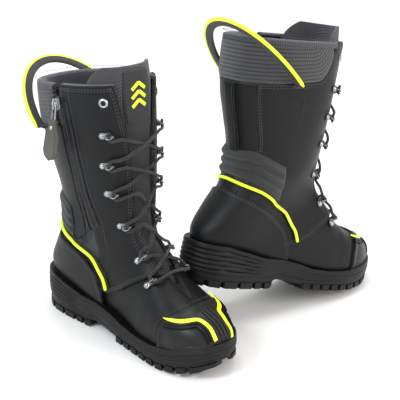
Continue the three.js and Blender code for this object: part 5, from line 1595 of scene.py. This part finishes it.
def zip_hardware():
    wide, long, thick = SLIDER
    y = np.linspace(-long / 2, long / 2, 15)
    half = np.interp(y, [-long / 2, -long / 2 + 1.5, 0, long / 2 - 1.5, long / 2],
                     [2.6, 3.4, 3.8, wide / 2, wide / 2 - 0.8])
    wings = rounded_block(half, y, 0.2, thick / 2, 0.5) + rounded_block(half, y, -thick / 2, -0.6, 0.5)
    post = rounded_block([1.2] * 5, np.linspace(0, long / 2 - 1.5, 5), -0.8, 0.4, 0.2)
    arch = [(0, long * along, thick / 2 + up) for along, up in (
        (-0.34, -0.3), (-0.3, 1.9), (-0.12, 3.2), (0.12, 3.2), (0.3, 1.9), (0.34, -0.3))]
    bridge = sweep(centripetal(arch, 24), circle(1.0, 12) * [1.5, 0.65], ups=np.tile([1.0, 0, 0], (24, 1)))
    frame_matrix = slider_frame()
    show("zip_slider_steel", (wings + post + bridge).placed(frame_matrix), CHROME, ["zip_slider"],
         body="zip_slider")

    hang = hanging_frame()
    link_wide, link_long, bar = LINK
    half = link_wide / 2 - bar / 2
    top, foot = 0.0, -link_long + 5.0
    turn = np.linspace(0, math.pi, 12)
    wire = [(half * math.cos(a), top - half + half * math.sin(a) + 0.3, 0) for a in turn]
    wire += [(-half, y, 0) for y in np.linspace(top - half - 2, foot, 8)]
    wire += [(half * math.cos(a), foot - 0.4 * half * math.sin(a - math.pi), 0)
             for a in np.linspace(math.pi, 2 * math.pi, 6)[1:-1]]
    wire += [(half, y, 0) for y in np.linspace(foot, top - half - 2, 8)]
    link = sweep(even(wire, 80, closed=True), circle(bar / 2, 12), closed=True)
    show("zip_link_steel", link.placed(hang), CHROME, ["zip_link"], body="zip_pull")

    tab_wide, tab_long, tab_thick = TAB
    top = -link_long + 8
    foot = top - tab_long
    down = np.linspace(0, 1, 40)
    y = top + (foot - top) * down
    radius = tab_wide / 2
    half = np.where(y < foot + radius, np.sqrt(np.maximum(radius ** 2 - (foot + radius - y) ** 2, 0.02)),
                    np.interp(y, [foot + radius, top - 17, top - 8, top - 1.5, top],
                              [radius, radius * 0.9, 6.4, 5.5, 4.6]))
    body = rounded_block(half, y, -tab_thick / 2, tab_thick / 2, 0.9)
    face = tab_thick / 2
    inner = rounded_block(np.maximum(half - 3.2, 0.3)[4:-4], y[4:-4], face - 0.4, face + 0.45, 0.4)
    rivet = turned([(0, face), (2.3, face), (2.4, face + 0.5), (1.9, face + 1.1), (0.9, face + 1.4),
                    (0, face + 1.45)], 24, finish=1)
    back_rivet = rivet.copy()
    back_rivet.points = back_rivet.points * [1, 1, -1]
    for stud in (rivet, back_rivet.outward()):
        stud.points += [0, top - 9.5, 0]
    inset = half - 1.7
    edge = np.vstack([np.column_stack([inset, y]), np.column_stack([-inset[::-1], y[::-1]])])[6:-6]
    seam = []
    for x, z in even(edge, 44):
        seam.append(turned([(0, 0), (0.5, 0.05), (0.42, 0.35), (0, 0.45)], 8).placed(
            np.array([[1, 0, 0, x], [0, 1.8, 0, z], [0, 0, 1, tab_thick / 2 - 0.05], [0, 0, 0, 1.0]])))
    show("zip_tab_leather", (body + inner + rivet + back_rivet).placed(hang), [TAB_LEATHER, CHROME],
         ["zip_tab"], body="zip_pull")
    show("zip_tab_thread", joined(seam).placed(hang), THREAD, body="zip_pull")


# ---- the pull loop ----
LOOP_ENDS = [spot(-78, 252), mirror(spot(-94, 250))]


def loop_base():
    """The middle between the loop's two sewn ends, half their distance, and the way to the lateral one."""
    lateral, medial = (over(t, b, LOOP_STANDS) for t, b in LOOP_ENDS)
    return (lateral + medial) / 2, float(np.linalg.norm(lateral - medial)) / 2, unit(lateral - medial)


def pull_loop():
    """A flat webbing strap bent into a horseshoe, with bright piping sewn along its outer edge."""
    centre, half, axis = loop_base()
    rise = np.array([-math.sin(math.radians(LOOP_TILT)), 0, math.cos(math.radians(LOOP_TILT))])
    rise = unit(rise - axis * (rise @ axis))
    turn = np.linspace(0, math.pi, 90)
    arch = centre + np.outer(np.cos(turn) * half, axis) + np.outer(np.sin(turn) * LOOP_REACH, rise)
    outward = unit(np.outer(np.cos(turn) * LOOP_REACH, axis) + np.outer(np.sin(turn) * half, rise))
    wide, thick = LOOP_STRAP / 2 - 1.6, LOOP_THICK / 2 - 0.2
    lap = np.linspace(0, 2 * math.pi, 24, endpoint=False)
    flat = np.stack([np.sign(np.sin(lap)) * np.abs(np.sin(lap)) ** 0.55 * thick,
                     np.sign(np.cos(lap)) * np.abs(np.cos(lap)) ** 0.35 * wide - 1.2], -1)
    strap = sweep(arch, flat, ups=outward)
    bead = tapered(arch + outward * (wide - 0.6), 2.2, 14)
    bead.quad_finish[:] = 1
    bead.tri_finish[:] = 1
    show("pull_loop_strap", strap + bead, [WEBBING, HI_VIS], ["pull_loop"], body="loop",
         step=60)
    anchors = []
    for t, b in LOOP_ENDS:
        base = skin_frame(t, b, 0)
        foot = through(base, (0, -3, PAD * 0.5), (0, -2, LOOP_STANDS * 0.5), (0, -0.5, LOOP_STANDS * 0.75),
                       (0, 0.5, LOOP_STANDS * 0.92))
        anchors.append(sweep(centripetal(foot, 24), circle(1.0, 16) * [5.5, 1.8],
                             ups=np.tile(base[:3, 2], (24, 1))))
    show("pull_loop_anchors", joined(anchors), WEBBING)


# ---- where each boot stands ----
def crossed(first, second):
    """Three square axes: along the first direction, and across it in the plane of both."""
    along, square = unit(first), unit(np.cross(first, second))
    return np.stack([along, np.cross(square, along), square], 1)


def boot_place(side):
    """The drawn boot's place, from where its loop's hinge and its zip's slide lie in the frame."""
    hand = HANDS[side]
    joints = {joint["name"]: joint for joint in frame["joints"]}
    fold, travel = joints[f"{side}_loop_fold"], joints[f"{side}_zip_travel"]
    mirrored = np.array([1, hand, 1])
    centre, _, axis = loop_base()
    here = crossed(axis * mirrored, slider_frame()[:3, 1] * mirrored)
    there = crossed(-hand * np.array(fold["axis"]), -np.array(travel["axis"]))
    turn = there @ here.T
    matrix = np.eye(4)
    matrix[:3, :3] = turn * (MM * mirrored)
    matrix[:3, 3] = np.array(fold["pos_m"]) - turn @ (centre * mirrored) * MM
    return matrix


BOOTS = {side: boot_place(side) for side in HANDS}


# ---- inside pieces that stay as the part made them ----
def finish_inside():
    for side in BOOTS:
        for node, finish in (("puncture_plate", BOARD), ("insole", LINING_KNIT), ("toe_cap", GUNMETAL)):
            mesh = frame["nodes"][f"{side}_{node}"].data
            mesh.materials.clear()
            mesh.materials.append(finish.material)


# ---- the studio ----
LENS, SENSOR = 88.5, 36  # mm
CAMERA_AT = (-0.0071, -1.1076, 0.571)  # metres
CAMERA_TILT = 69.4  # degrees up from straight down
AIM = (0, 0, 0.15)  # what the lamps look at
LAMPS = [  # place, width, watts, colour
    ("key", (-1.3, -1.1, 1.7), 0.7, 26, (0.90, 0.95, 1.0)),
    ("fill", (1.4, -0.9, 1.0), 0.9, 16, (1.0, 0.93, 0.84)),
    ("top", (0.1, 0.5, 1.9), 1.2, 16, (1.0, 1.0, 1.0)),
]


def studio():
    camera = bpy.data.cameras.new("camera")
    camera.lens, camera.sensor_width = LENS, SENSOR
    holder = bpy.data.objects.new("camera", camera)
    holder.location = CAMERA_AT
    holder.rotation_euler = (math.radians(CAMERA_TILT), 0, 0)
    bpy.context.collection.objects.link(holder)
    bpy.context.scene.camera = holder

    floor = Finish("studio floor", (0.86, 0.86, 0.86), 0.7)
    floor.set("Base Color", floor.mix(floor.noise(3, 2), (0.84, 0.84, 0.84), (0.88, 0.88, 0.88)))
    mesh = bpy.data.meshes.new("floor")
    reach, rise, bend = 3.0, 2.4, 0.9
    line = [(-reach, 0)] + [(reach - bend + bend * math.sin(a), bend - bend * math.cos(a))
                            for a in np.linspace(0, math.pi / 2, 12)] + [(reach, rise)]
    points = [(x, y, z) for y, z in line for x in (-2 * reach, 2 * reach)]
    mesh.from_pydata(points, [], [(2 * k, 2 * k + 1, 2 * k + 3, 2 * k + 2) for k in range(len(line) - 1)])
    mesh.polygons.foreach_set("use_smooth", np.ones(len(mesh.polygons), bool))
    mesh.materials.append(floor.material)
    sweep_cloth = bpy.data.objects.new("floor", mesh)
    bpy.context.collection.objects.link(sweep_cloth)

    world = bpy.data.worlds.new("studio")
    world.use_nodes = True
    world.node_tree.nodes["Background"].inputs["Color"].default_value = (1, 1, 1, 1)
    world.node_tree.nodes["Background"].inputs["Strength"].default_value = 1.0
    bpy.context.scene.world = world
    bpy.context.scene.view_settings.view_transform = "Standard"
    for name, place, size, power, colour in LAMPS:
        lamp = bpy.data.lights.new(name, "AREA")
        lamp.size, lamp.energy, lamp.color = size, power, colour
        light = bpy.data.objects.new(name, lamp)
        light.location = place
        light.rotation_euler = (Vector(AIM) - Vector(place)).to_track_quat("-Z", "Y").to_euler()
        bpy.context.collection.objects.link(light)


studio()
outsole()
midsole()
vamp()
quarter_lateral()
quarter_medial()
back_panel()
heel_counter()
toe_guard()
ankle_pad()
ankle_piping()
collar()
binding()
front_binding()
lining()
tongue()
tongue_patch()
hooks()
lace()
zip_pieces()
zip_hardware()
pull_loop()
finish_inside()
